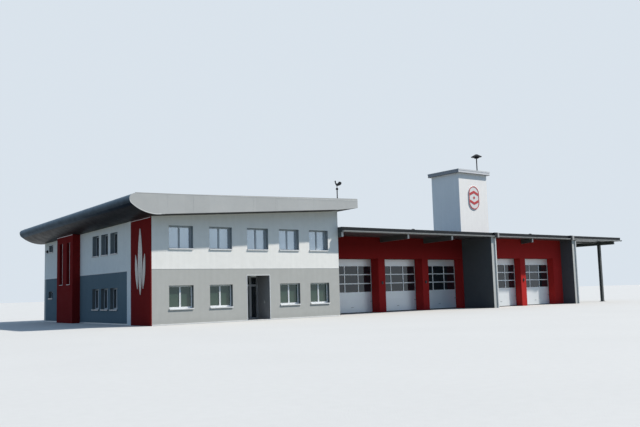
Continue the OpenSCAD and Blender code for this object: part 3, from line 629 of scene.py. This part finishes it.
# ---- windows
def window_details():
    """Reveal linings of dark sheet, which paint the shade in the reveals, sashes, gaskets and sill ends of
    every window.
    """
    linings, sashes, gaskets, sills = ({face: Shape(TURNS[face]) for face in TURNS} for _ in range(4))
    frames = list(on_facades("window_frames"))
    lining_t, lining_gap, foot = 0.004, 0.003, 0.018
    for face, lo, hi in frames:
        if hi.z - lo.z > SLOT_H:
            continue
        y0, y1 = (-office_d if face == "back" else 0.0) + lining_gap, lo.y + SEAT
        # Painted shade: dark sheet on the head and jambs of each reveal
        linings[face].box(lo.x, hi.x, y0, y1, hi.z - lining_t, hi.z)
        for x in (lo.x, hi.x - lining_t):
            linings[face].box(x, x + lining_t, y0, y1, lo.z + foot, hi.z - lining_t)
    for face in TURNS:
        linings[face].make(f"window_reveal_painted_shade_{face}", REVEAL_SHADE, "steel_dark")

    lap, cover, proud, seal = 0.008, 0.010, 0.006, 0.004
    for face, lo, hi in on_facades("window_glass"):
        mid = (lo + hi) / 2
        front = next(a.y for f, a, b in frames
                     if f == face and all(a[i] <= mid[i] <= b[i] for i in range(3)))
        sashes[face].ring(lo, hi, lap, lap + cover, front - proud, lo.y + SEAT)
        gaskets[face].ring(lo, hi, -cover, seal, lo.y - seal, lo.y + SEAT)

    end_w, end_h, nosing_out, nosing_in, nosing_h = 0.007, 0.012, 0.004, 0.003, 0.012
    for face, lo, hi in on_facades("window_sills"):
        for x in (lo.x, hi.x - end_w):
            sills[face].box(x, x + end_w, lo.y - 0.002, hi.y, lo.z, hi.z + end_h)
        sills[face].box(lo.x, hi.x, lo.y - nosing_out, lo.y + nosing_in, lo.z - nosing_h, hi.z + 0.001)
    for face in TURNS:
        sashes[face].make(f"window_sashes_{face}", FRAME_WHITE, "window_frame", bevel=0.0015)
        gaskets[face].make(f"window_gaskets_{face}", RUBBER, "steel_dark")
        sills[face].make(f"sill_ends_{face}", SILL, "sill_metal", bevel=0.001)


def slot_trims():
    """Light angle trims at the foot and on the front side of the slots of the stair bay."""
    bay_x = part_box("stair_bay")[0].x
    foot_h, side_w, lap, foot_out, side_out = 0.014, 0.007, 0.004, 0.012, 0.006
    trims = Shape(TURNS["left"])
    for face, lo, hi in on_facades("window_frames"):
        if face == "left" and hi.z - lo.z > SLOT_H:
            trims.box(lo.x, hi.x, bay_x - foot_out, lo.y - 0.002, lo.z, lo.z + foot_h)
            trims.box(hi.x - side_w, hi.x + lap, bay_x - side_out, bay_x + 0.01, lo.z + foot_h, hi.z)
    trims.make("slot_trims", LIGHT_EDGE, "sill_metal", bevel=0.001)


# ---- office facades
def facade_lines():
    """The drip profile between the storeys and the base profile along the foot of the walls."""
    strip_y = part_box("white_corner_strip")[1].y
    bay_lo, bay_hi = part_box("stair_bay")

    def along_walls(name, front_spans, out, z0, z1, bevel):
        strip = Shape()
        for x0, x1 in front_spans:
            strip.box(x0, x1, -out, SEAT, z0, z1)
        strip.box(0, office_w, office_d - SEAT, office_d + out, z0, z1)
        for y0, y1 in ((strip_y, bay_lo.y), (bay_hi.y, office_d)):
            strip.box(-out, SEAT, y0, y1, z0, z1)
        strip.make(name, LIGHT_EDGE, "sill_metal", bevel=bevel)

    drip_h, base_h = 0.008, 0.035
    along_walls("storey_drip", ((0, office_w),), 0.006, storey_z - drip_h / 2, storey_z + drip_h / 2, 0.001)
    along_walls("base_profile", ((0, entrance_x0), (entrance_x1, office_w)), 0.010, 0, base_h, 0.002)


def top_trims():
    """Light metal strips along the top of the red corner panel and the stair bay."""
    trims = Shape()
    panel_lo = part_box("red_corner_panel")[0]
    strip_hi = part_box("white_corner_strip")[1]
    bay_lo, bay_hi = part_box("stair_bay")
    drop, h, out, margin = 0.026, 0.016, 0.008, 0.03
    for x, y0, y1 in ((panel_lo.x, panel_lo.y, strip_hi.y), (bay_lo.x, bay_lo.y, bay_hi.y)):
        ends = []
        for y in (y0, y1):
            inside = min(max(y, y0 + margin), y1 - margin)
            ends.append(Vector((x, y, meet_soffit((x - 0.005, inside, storey_z), UP).z - drop)))
        trims.bar(ends[0], ends[1], 2 * out, h)
    trims.make("wall_top_trims", LIGHT_EDGE, "sill_metal", bevel=0.001)


def left_wall_lamp():
    """The lamp beside the small upper window at the back end of the left wall."""
    y, z = 9.535, 2.716
    w, h, out, base_t, foot_out, chamfer = 0.10, 0.13, 0.075, 0.012, 0.03, 0.02
    block("wall_lamp_base", STEEL, "steel_dark",
          (-base_t, SEAT, y - w / 2, y + w / 2, z - h / 2, z + h / 2), bevel=0.002)
    hood = Shape()
    foot = -h / 2 + 0.01
    outline = [(-base_t, h / 2), (-out, h / 2 - chamfer), (-out, 0.0), (-foot_out, foot), (-base_t, foot)]
    side = w / 2 - 0.008
    hood.loft([[(x, y + s, z + dz) for x, dz in outline] for s in (-side, side)])
    hood.make("wall_lamp_hood", STEEL, "steel_dark", bevel=0.003)


def ornament_ribs():
    """Raised ribs on the three steel leaves of the corner panel."""
    lo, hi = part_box("panel_ornament")
    x, y, mid_z = lo.x, (lo.y + hi.y) / 2, (lo.z + hi.z) / 2
    ribs = Shape()
    r, tip_gap, count, pitch, drop, rise = 0.006, 0.05, 7, 0.115, 0.05, 0.045
    half = (hi.z - lo.z) / 2 - tip_gap
    ribs.rod((x, y, mid_z - half), (x, y, mid_z + half), r)
    for i in range(-count, count + 1):
        z = mid_z + i * pitch
        reach = pitch * (1 - (i / (count + 2)) ** 2)
        for side in (-1, 1):
            ribs.rod((x, y, z - drop), (x, y + side * reach, z + rise), r * 0.6, 8)
    lean, out, down, half = radians(7), 0.26, 0.30, 0.46
    for side in (-1, 1):
        middle = Vector((x, y - side * out, mid_z - down))
        along = Vector((0, side * -sin(lean), cos(lean)))
        ribs.rod(middle - along * half, middle + along * half, r * 0.8)
    ribs.make("ornament_ribs", ORNAMENT, "ornament_steel", smooth=True)


# ---- entrance
def entrance_details():
    """Threshold, mat, linings and beads of the recess, its lamp and bell, and the door's trim."""
    screen_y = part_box("entrance_screen")[0].y
    head_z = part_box("entrance_lintel")[0].z
    floor_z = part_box("office_ground_floor")[1].z
    x0, x1 = entrance_x0, entrance_x1
    wall_t = 0.201
    block("entrance_threshold", LIGHT_EDGE, "sill_metal",
          (x0 + 0.002, x1 - 0.002, -0.014, 0.14, 0.0, floor_z + 0.005), bevel=0.003)
    block("entrance_mat", RUBBER, "steel_dark",
          (x0 + 0.08, x1 - 0.08, 0.2, screen_y - 0.12, 0.0, floor_z + 0.002), bevel=0.003)

    jambs = Shape()
    lining_t, lining_y = 0.005, 0.004
    for x in (x0, x1 - lining_t):
        jambs.box(x, x + lining_t, lining_y, wall_t, floor_z + 0.001, head_z)
    jambs.box(x0 + lining_t, x1 - lining_t, lining_y, wall_t, head_z - lining_t, head_z)
    jambs.make("entrance_jambs", DARK, "steel_dark", bevel=0.001)

    corners = Shape()
    w, out, depth, lap, foot_z = 0.016, 0.004, 0.003, 0.001, 0.04
    for a, b in ((x0 - w, x0 + lap), (x1 - lap, x1 + w)):
        corners.box(a, b, -out, depth, foot_z, head_z + w)
    corners.box(x0 + lap, x1 - lap, -out, depth, head_z - lap, head_z + w)
    corners.make("entrance_corner_beads", FRAME_WHITE, "window_frame", bevel=0.001)

    lamp = Shape()
    lamp.lathe([(0.085, -0.034), (0.108, -0.026), (0.115, -0.008), (0.115, 0.0)],
               ((x0 + x1) / 2, 0.34, head_z - 0.001), 36)
    lamp.make("entrance_lamp", LAMP, "window_frame", smooth=True)
    block("bell_plate", SILL, "sill_metal", (x1 - 0.010, x1 + SEAT, 0.30, 0.36, 0.54, 0.61), bevel=0.002)
    buttons = Shape()
    for z in (0.56, 0.588):
        buttons.box(x1 - 0.014, x1 - 0.008, 0.318, 0.342, z - 0.006, z + 0.006)
    buttons.make("bell_buttons", STEEL, "steel_dark", bevel=0.0015)

    beads = Shape()
    for a, b in solids("entrance_glass"):
        beads.ring(a, b, 0.006, 0.016, screen_y + 0.002, a.y + SEAT)
    beads.make("screen_beads", DOOR_FRAME, "door_frame", bevel=0.001)
    a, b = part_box("entrance_door_glass")
    leaf_y, leaf_z = a.y - 0.009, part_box("entrance_door_leaf")[0].z
    bead = Shape()
    bead.ring(a, b, 0.004, 0.014, leaf_y - 0.004, a.y + SEAT)
    bead.make("door_beads", LEAF_METAL, "door_frame", bevel=0.001, body="entrance_door")
    block("door_kick_plate", SILL, "sill_metal",
          (a.x - 0.02, b.x + 0.02, leaf_y - 0.002, leaf_y + SEAT, leaf_z + 0.01, a.z - 0.006),
          body="entrance_door")


# ---- office roof
def roof_details():
    """Copings, standing seams and sheet joints, the trims below the fascia and the strips of the soffit."""
    front_y, back_y = roof_lo.y, roof_hi.y
    edge_x0, edge_x1 = roof_lo.x + nose_w - 0.015, roof_hi.x
    inset = 0.01

    def top(x, y):
        return meet_roof((x, y, roof_hi.z + 1), DOWN)

    def under(x):
        """The lower edge of the front face."""
        return meet_roof((x, front_y + 0.012, storey_z), UP)

    def face_y(x, z, side):
        """Where the roof's front (side 1) or back (side -1) face lies: both lean with the roof."""
        return meet_roof((x, (front_y if side > 0 else back_y) - side, z), (0, side, 0)).y

    def rim(x, side):
        spot = top(x, front_y + inset if side > 0 else back_y - inset)
        spot.y = face_y(x, spot.z - 0.02, side)
        return spot

    coping = Shape()
    lift = Vector((0, 0, 0.006))
    coping_w, coping_h, proud, right_w, right_out = 0.044, 0.022, 0.003, 0.03, 0.006
    for side in (1, -1):
        a, b = rim(edge_x0, side) + lift, rim(edge_x1 - inset, side) + lift
        a.y += side * (coping_w / 2 - proud)
        b.y += side * (coping_w / 2 - proud)
        b.x = edge_x1 + right_out
        coping.bar(a, b, coping_w, coping_h)
    a, b = rim(edge_x1 - inset, 1) + lift, rim(edge_x1 - inset, -1) + lift
    a.y, b.y = a.y - proud, b.y + proud
    coping.bar(a, b, right_w, coping_h)
    coping.make("roof_coping", ROOF, "roof_metal", bevel=0.002)

    seams = Shape()
    pitch, seam_w, seam_h = 0.31, 0.007, 0.024
    y = front_y + pitch / 2
    while y < back_y - 0.05:
        seams.bar(top(edge_x0 + 0.02, y) + lift, top(edge_x1 - 0.03, y) + lift, seam_w, seam_h)
        y += pitch
    seams.make("roof_seams", ROOF, "roof_metal")

    joints = Shape()
    joint_w, joint_d = 0.006, 0.004
    for x in (0.29, 1.12, 3.225, 4.054, 5.60, 6.996):  # where the photograph shows them
        z0, z1 = under(x).z, top(x, front_y + inset).z - 0.012
        low, high = (x, face_y(x, z0 + 0.02, 1), z0), (x, face_y(x, z1, 1), z1)
        joints.bar(low, high, joint_w, joint_d, up=(0, 1, 0))
    joints.make("fascia_joints", ROOF, "roof_metal")

    drip = Shape()
    a, b = under(0.2), under(edge_x1 - 0.97)
    drip.bar((a.x, front_y + 0.004, a.z), (b.x, front_y + 0.004, b.z), 0.016, 0.012)
    drip.make("fascia_drip", STEEL, "steel_dark", bevel=0.001)

    bead = Shape()
    start, length, steps = roof_lo.x + 0.012, 0.95, 24
    path = [under(start + i * (length / steps)) + Vector((0, -0.012, 0.012)) for i in range(steps + 1)]
    bead.ribbon(path, 0.014, 0.016, (0, 1, 0))
    bead.make("fascia_bead", LIGHT_EDGE, "roof_metal", bevel=0.001)

    strips = Shape()
    strip_w, strip_t = 0.012, 0.003
    start, length, steps = roof_lo.x + 0.125, 0.70, 14
    y = front_y + 0.9
    while y < back_y - 0.1:
        path = [meet_soffit((start + i * (length / steps), y, storey_z), UP) for i in range(steps + 1)]
        strips.ribbon(path, strip_w, strip_t, (0, 1, 0))
        y += 1.25
    for x in (1.2, 2.45, 3.7, 4.95, 6.2):
        path = [meet_soffit((x, y, storey_z), UP) for y in (front_y + 0.04, -0.004)]
        strips.ribbon(path, strip_w, strip_t, (1, 0, 0))
    strips.make("soffit_strips", STEEL, "steel_dark")


def mast_tube():
    """A tube over the weathercock's mast, from a rain collar at its flange up to the ball."""
    lo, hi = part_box("weathercock_mast")
    z0, ball_z, ball_r = lo.z + 0.012, hi.z - 0.105, 0.043
    r, collar_r, mast_r = 0.019, 0.030, 0.013
    h = ball_z - ball_r - z0
    tube = Shape()
    tube.lathe([(collar_r, 0.0), (collar_r, 0.006), (r, 0.022), (r, h), (mast_r, h + 0.004)],
               ((lo.x + hi.x) / 2, (lo.y + hi.y) / 2, z0), 28)
    tube.make("mast_tube", BLACK, "steel_dark")


def wall_flashing():
    """Flashings where the office wall and the tower rise from the hall roof."""
    flash = Shape()
    z0, z1, t = hall_hi.z, hall_hi.z + 0.07, 0.006
    x0, x1, y0, y1 = tower_lo.x, tower_hi.x, tower_lo.y, hall_hi.y - 0.16
    flash.box(office_w, office_w + t, 0.0, hall_hi.y, z0, z1)
    flash.box(x0 - t, x1 + t, y0 - t, y0, z0, z1)
    flash.box(x0 - t, x0, y0, y1, z0, z1)
    flash.box(x1, x1 + t, y0, y1, z0, z1)
    flash.make("wall_flashing", LIGHT_EDGE, "sill_metal", bevel=0.001)


# ---- vehicle hall
def bay_door_details():
    """Glazing beads, gaskets, seals, a pull and a lock for each sectional door."""
    gaskets, beads = Shape(), Shape()
    for lo, hi in solids("bay_door_glass"):
        beads.ring(lo, hi, 0.009, 0.015, lo.y - 0.019, lo.y + SEAT)
        gaskets.ring(lo, hi, -0.006, 0.005, lo.y - 0.004, lo.y + SEAT)
    beads.make("bay_glazing_beads", PANEL, "bay_panel", bevel=0.001)
    gaskets.make("bay_glazing_gaskets", RUBBER, "steel_dark")

    seals, pulls, locks = Shape(), Shape(), Shape()
    margin, side_w, top_h, foot_h = 0.015, 0.012, 0.014, 0.030
    pull_half, stem_out, pull_z, lock_z = 0.06, 0.05, 0.225, 0.42
    for node in ("bay_doors_a", "bay_doors_b"):
        for lo, hi in solids(node):
            x0, x1, y, head = lo.x + margin, hi.x - margin, lo.y, hi.z - margin
            y0, y1 = y - 0.006, y + SEAT
            seals.box(x0, x1, y0, y1, 0.0, foot_h)
            for x in (x0, x1 - side_w):
                seals.box(x, x + side_w, y0, y1, foot_h, head)
            seals.box(x0 + side_w, x1 - side_w, y0, y1, head - top_h, head)
            mid = (x0 + x1) / 2
            pulls.box(mid - pull_half, mid + pull_half, y - 0.012, y - 0.004, pull_z - 0.01, pull_z + 0.01)
            for x in (mid - stem_out, mid + stem_out):
                pulls.rod((x, y0, pull_z), (x, y1, pull_z), 0.006, 8)
            locks.box(x1 - 0.10, x1 - 0.03, y - 0.004, y1, lock_z, lock_z + 0.03)
    seals.make("bay_door_seals", RUBBER, "steel_dark")
    pulls.make("bay_door_pulls", DOOR_FRAME, "door_frame", bevel=0.002)
    locks.make("bay_door_locks", DOOR_FRAME, "door_frame", bevel=0.001)


def door_switches():
    """Switch boxes on the pillars between the vehicle doors."""
    boxes, lids = Shape(), Shape()
    half_w, half_h, out, z = 0.035, 0.055, 0.035, 1.135
    lid_half, lid_out = half_w - 0.008, 0.006
    for node, wall in (("bay_doors_a", "hall_front_wall_a"), ("bay_doors_b", "hall_front_wall_b")):
        doors = solids(node)
        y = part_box(wall)[0].y
        for (_, a), (b, _) in zip(doors, doors[1:]):
            x = (a.x + b.x) / 2
            boxes.box(x - half_w, x + half_w, y - out, y + SEAT, z - half_h, z + half_h)
            lids.box(x - lid_half, x + lid_half, y - out - lid_out, y - out + SEAT, z - 0.02, z + 0.04)
    boxes.make("door_switches", STEEL, "steel_dark", bevel=0.004)
    lids.make("door_switch_lids", STEEL, "steel_dark", bevel=0.003)


def hall_roof_details():
    """The edge trims, roof laps and vents."""
    x0, x1, y0, y1, z1 = office_w, hall_hi.x, hall_lo.y, hall_hi.y, hall_hi.z
    rim_w, out, down, up = 0.07, 0.012, 0.05, 0.022
    gutter_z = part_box("gutters_and_downpipes")[1].z
    edge = Shape()
    edge.box(x1 - rim_w, x1 + out, y0 + rim_w, y1, z1 - down, z1 + up)
    edge.box(x0 - 0.006, x0 + 0.002, y0 - out, -0.004, hall_lo.z - 0.006, z1 + 0.028)
    for a, b in ((x0, tower_lo.x), (tower_hi.x, x1)):
        edge.box(a, b, y1 - rim_w, y1 + out, z1 - down, z1 + up)
    edge.make("hall_roof_trim", EDGE, "hall_roof_edge", bevel=0.003)
    block("hall_front_trim", DARK_EDGE, "hall_roof_edge",
          (x0 + 0.002, x1 + 0.006, y0 - out, y0 + rim_w, gutter_z - 0.006, z1 + 0.026), bevel=0.004)

    laps = Shape()
    pitch, lap_w, lap_t, tower_gap = 1.0, 0.05, 0.003, 0.06
    x = x0 + pitch
    while x < x1 - 0.2:
        meets_tower = tower_lo.x - tower_gap < x < tower_hi.x + tower_gap
        end = tower_lo.y - 0.02 if meets_tower else y1 - rim_w
        laps.box(x, x + lap_w, y0 + rim_w, end, z1 - SEAT, z1 + lap_t)
        x += pitch
    laps.make("roof_laps", EDGE, "hall_roof_edge")

    vents = Shape()
    profile = [(0.035, 0.0), (0.035, 0.15), (0.075, 0.16), (0.075, 0.205), (0.02, 0.225)]
    for x in (11.875, 19.44):  # where the photograph shows them
        vents.lathe(profile, (x, 1.23, z1 - 0.001), 20)
    vents.make("roof_vents", STEEL, "steel_dark", smooth=True)


def gutter_details():
    """Straps, end caps, outlets and pipe clips, and the blocks that break the gutter at the wing walls."""
    lo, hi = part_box("gutters_and_downpipes")
    pipes = feet("gutters_and_downpipes")
    pipe_r = (pipes[0][1].x - pipes[0][0].x) / 2
    r = (hall_lo.y - lo.y) / 2
    cy, rim_z, n = hall_lo.y - r, hi.z, 10

    def arc(x, radius):
        return [(x, cy - radius * cos(pi * k / n), rim_z - radius * sin(pi * k / n))
                for k in range(n + 1)]

    straps, caps = Shape(), Shape()
    pitch, margin, strap_w, strap_t = 0.42, 0.03, 0.010, 0.003
    count = round((hi.x - lo.x) / pitch)
    for i in range(count + 1):
        path = arc(lo.x + margin + i * (hi.x - lo.x - 2 * margin) / count, r + strap_t)
        for a, b in zip(path, path[1:]):
            straps.bar(a, b, strap_w, strap_t, up=(0, a[1] + b[1] - 2 * cy, a[2] + b[2] - 2 * rim_z))
    straps.make("gutter_straps", GUTTER, "gutter_metal")
    for x in (lo.x - 0.004, hi.x - 0.002):
        caps.loft([arc(x, r + 0.002), arc(x + 0.006, r + 0.002)])
    caps.make("gutter_end_caps", GUTTER, "gutter_metal")

    # At each wing wall a dark length and then a bright one, as long as the photograph shows
    breaks, ends = Shape(), Shape()
    y0, y1, z0, z1 = lo.y - 0.004, hall_lo.y + 0.01, rim_z - r, hall_hi.z
    for x, dark, bright in ((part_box("wing_wall_1")[1].x - 0.01, 0.165, 0.10),
                            (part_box("wing_wall_2")[0].x - 0.10, 0.14, 0.13)):
        breaks.box(x - dark, x, y0, y1, z0 - 0.008, z1 + 0.030)
        ends.box(x, x + bright, y0, y1, z0 - 0.012, z1 + 0.029)
    breaks.make("roof_edge_breaks", DARK_EDGE, "hall_roof_edge", bevel=0.003)
    ends.make("roof_edge_ends", GUTTER, "gutter_metal", bevel=0.003)

    clips, outlets = Shape(), Shape()
    clip = [(pipe_r + 0.004, -0.009), (pipe_r + 0.004, 0.009)]
    outlet = [(pipe_r + 0.002, -0.20), (pipe_r + 0.004, -0.10),
              (pipe_r + 0.022, 0.0), (pipe_r + 0.022, 0.012)]
    for foot_lo, foot_hi in pipes:
        x, y, _ = (foot_lo + foot_hi) / 2
        for z in (0.35, 1.15, 1.95, 2.6):
            clips.lathe(clip, (x, y, z), 20)
        outlets.lathe(outlet, (x, y, z0 - 0.002), 24)
    clips.make("pipe_clips", GUTTER, "gutter_metal", smooth=True)
    outlets.make("gutter_outlets", GUTTER, "gutter_metal", smooth=True)


def beam_end_plates():
    plates = Shape()
    for lo, hi in solids("hall_roof_beams"):
        plates.box(lo.x + 0.002, hi.x - 0.002, lo.y - 0.008, lo.y + SEAT, hi.z - 0.163, hi.z - 0.004)
    plates.make("beam_end_plates", DOOR_FRAME, "hall_roof_edge", bevel=0.002)


def carport_details():
    """Foot plates with bolts, and joists under the open roof."""
    plates, bolts, joists = Shape(), Shape(), Shape()
    wing_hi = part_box("wing_wall_2")[1]
    wall_x1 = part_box("hall_right_wall")[1].x
    pitch, half_w, joist_h = 1.2, 0.03, 0.05
    y = hall_lo.y + 0.9
    while y < hall_hi.y - 0.2:
        joists.box(wing_hi.x if y < wing_hi.y else wall_x1, hall_hi.x - 0.15,
                   y - half_w, y + half_w, hall_lo.z - joist_h, hall_lo.z + SEAT)
        y += pitch
    joists.make("carport_joists", BEAM, "steel_dark", bevel=0.002)

    plate_out, plate_t, bolt_in = 0.035, 0.012, 0.018
    bolt = [(0.011, 0.0), (0.011, 0.012), (0.006, 0.014), (0.006, 0.022)]
    for lo, hi in feet("carport_frame"):
        x, y, _ = (lo + hi) / 2
        side = (hi.x - lo.x) / 2 + plate_out
        plates.box(x - side, x + side, y - side, y + side, 0.0, plate_t)
        for dx in (-1, 1):
            for dy in (-1, 1):
                at = (x + dx * (side - bolt_in), y + dy * (side - bolt_in), plate_t - 0.001)
                bolts.lathe(bolt, at, 6)
    plates.make("post_foot_plates", BEAM, "steel_dark", bevel=0.002)
    bolts.make("post_bolts", GUTTER, "gutter_metal")


# ---- tower
def tower_cap_details():
    """Cap sheets with a dark drip below them."""
    sheets, drip = Shape(), Shape()
    sheets.border(cap_lo, cap_hi, 0.012, 0.03, cap_hi.z - 0.055, cap_hi.z + 0.012)
    sheets.make("cap_coping", CAP, "cap_render", bevel=0.003)
    drip.border(cap_lo, cap_hi, 0.004, 0.01, cap_lo.z - 0.006, cap_lo.z + 0.014)
    drip.make("cap_drip", STEEL, "steel_dark", bevel=0.001)


def plaque_details():
    """The plaque's raised rim, two chevrons and a diamond."""
    lo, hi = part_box("tower_plaque")
    cx, mid_z, r = (lo.x + hi.x) / 2, (lo.z + hi.z) / 2, (hi.x - lo.x) / 2
    y0, y1 = lo.y, lo.y + SEAT
    rim_w, rim_out, field_out, steps = 0.045, 0.010, 0.008, 24

    def stadium(inset, y):
        return [(cx + (r - inset) * cos(start + pi * i / steps), y,
                 centre_z + (r - inset) * sin(start + pi * i / steps))
                for centre_z, start in ((hi.z - r, 0.0), (lo.z + r, pi)) for i in range(steps + 1)]

    rim = Shape()
    rim.tube([stadium(0.0, y0 - rim_out), stadium(rim_w, y0 - rim_out), stadium(rim_w, y1), stadium(0.0, y1)])
    rim.make("plaque_rim", PLAQUE_RED, "plaque_enamel")

    fields = Shape()
    half_w, near_out, far_out, slope, half = r - 0.075, 0.10, 0.235, 0.13, 0.085
    for sign in (-1, 1):
        near, far, tip = mid_z + sign * near_out, mid_z + sign * far_out, sign * slope
        fields.plate([(cx - half_w, near), (cx, near + tip), (cx + half_w, near),
                      (cx + half_w, far), (cx, far + tip), (cx - half_w, far)], y0 - field_out, y1)
    fields.plate([(cx - half, mid_z), (cx, mid_z + half), (cx + half, mid_z), (cx, mid_z - half)],
                 y0 - field_out, y1)
    fields.make("plaque_fields", PLAQUE_RED, "plaque_enamel")


def siren_fittings():
    """Rings below the siren's hood, and the bolts and gussets of its foot."""
    lo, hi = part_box("siren")
    x, y, r = (lo.x + hi.x) / 2, (lo.y + hi.y) / 2, (hi.x - lo.x) / 2
    hood_h, ring_drop, ring_pitch, ring_t = 0.15, 0.02, 0.026, 0.010
    bolt_r, gusset_in, gusset_out, gusset_top, foot_t = 0.068, 0.03, 0.08, 0.05, 0.014
    fittings = Shape()
    for i in range(3):
        ring_r = r * (0.62 - 0.12 * i)
        ring_z = hi.z - hood_h - ring_drop - ring_pitch * i
        fittings.lathe([(ring_r, 0.0), (ring_r, ring_t)], (x, y, ring_z), 28)
    for i in range(4):
        a = pi / 4 + i * pi / 2
        dx, dy = cos(a), sin(a)
        fittings.lathe([(0.009, 0.0), (0.009, 0.012), (0.004, 0.014)],
                       (x + bolt_r * dx, y + bolt_r * dy, lo.z + foot_t - 0.001), 6)
        fittings.bar((x + gusset_in * dx, y + gusset_in * dy, lo.z + gusset_top),
                     (x + gusset_out * dx, y + gusset_out * dy, lo.z + foot_t), 0.006, 0.04)
    fittings.make("siren_fittings", BLACK, "steel_dark")


window_details()
slot_trims()
facade_lines()
top_trims()
left_wall_lamp()
ornament_ribs()
entrance_details()
roof_details()
mast_tube()
wall_flashing()
bay_door_details()
door_switches()
hall_roof_details()
gutter_details()
beam_end_plates()
carport_details()
tower_cap_details()
plaque_details()
siren_fittings()


# ---- stage, light and camera
def seen_rays(tree):
    """A socket that is 1 for the rays that show the backdrop: straight, mirrored or through glass."""
    new, link = tree.nodes.new, tree.links.new
    rays = new("ShaderNodeLightPath")
    seen = rays.outputs["Is Camera Ray"]
    for name in ("Is Glossy Ray", "Is Transmission Ray"):
        either = new("ShaderNodeMath")
        either.operation = "MAXIMUM"
        link(seen, either.inputs[0])
        link(rays.outputs[name], either.inputs[1])
        seen = either.outputs[0]
    return seen


def ray_world(world):
    """Lights the scene with a soft sky and shows a plain pale backdrop to the camera and to gloss."""
    world.use_nodes = True
    tree = world.node_tree
    new, link = tree.nodes.new, tree.links.new
    tree.nodes.clear()

    def background(colour, strength):
        made = new("ShaderNodeBackground")
        made.inputs["Color"].default_value = (*colour, 1)
        made.inputs["Strength"].default_value = strength
        return made.outputs[0]

    mix = new("ShaderNodeMixShader")
    link(seen_rays(tree), mix.inputs[0])
    link(background((0.39, 0.64, 1.0), 0.54), mix.inputs[1])
    link(background((0.70, 0.77, 0.84), 1.0), mix.inputs[2])
    link(mix.outputs[0], new("ShaderNodeOutputWorld").inputs["Surface"])


scene.world = scene.world or bpy.data.worlds.new("world")
ray_world(scene.world)

floor_look = Look("floor", (0.20, 0.215, 0.185), 0.9)
floor_look.turn_to((0.50, 0.50, 0.49), seen_rays(floor_look.tree)).patches(0.35, 0.015).patches(9.0, 0.015)
floor_look.grain(60.0, 0.0015)
floor_mesh = bpy.data.meshes.new("floor")
reach = 400.0
corners = [(reach * x, reach * y, 0) for x, y in ((-1, -1), (1, -1), (1, 1), (-1, 1))]
floor_mesh.from_pydata(corners, [], [(0, 1, 2, 3)])
floor_mesh.materials.append(floor_look.done())
floor = add("floor", floor_mesh)
floor.location = (0, 0, -0.001)

# The sun stands to the front right, as the shadows in the photograph show
sun_data = bpy.data.lights.new("sun", "SUN")
sun_data.energy = 5.15
sun_data.angle = radians(1.6)
sun_data.color = (1.0, 0.945, 0.865)
sun = add("sun", sun_data)
sun.rotation_euler = Vector((-1.44, 1.0, -2.15)).to_track_quat("-Z", "Y").to_euler()

# Camera of the photograph, in metres and radians, for the half-size model
camera_place = Vector((-9.24649, -20.15118, 0.82968))
yaw, pitch, roll = 0.654822, 0.105943, -0.0285416
lens_px, image_w = 742.189, 640
camera_data = bpy.data.cameras.new("camera")
camera_data.sensor_width = 36
camera_data.lens = lens_px / image_w * camera_data.sensor_width
camera_data.clip_end = 2000
camera = add("camera", camera_data)
camera.matrix_world = Matrix.Translation(camera_place)
for angle, axis in ((-yaw, "Z"), (pi / 2 + pitch, "X"), (roll, "Z")):
    camera.matrix_world @= Matrix.Rotation(angle, 4, axis)
scene.camera = camera

scene.view_settings.view_transform = "Standard"
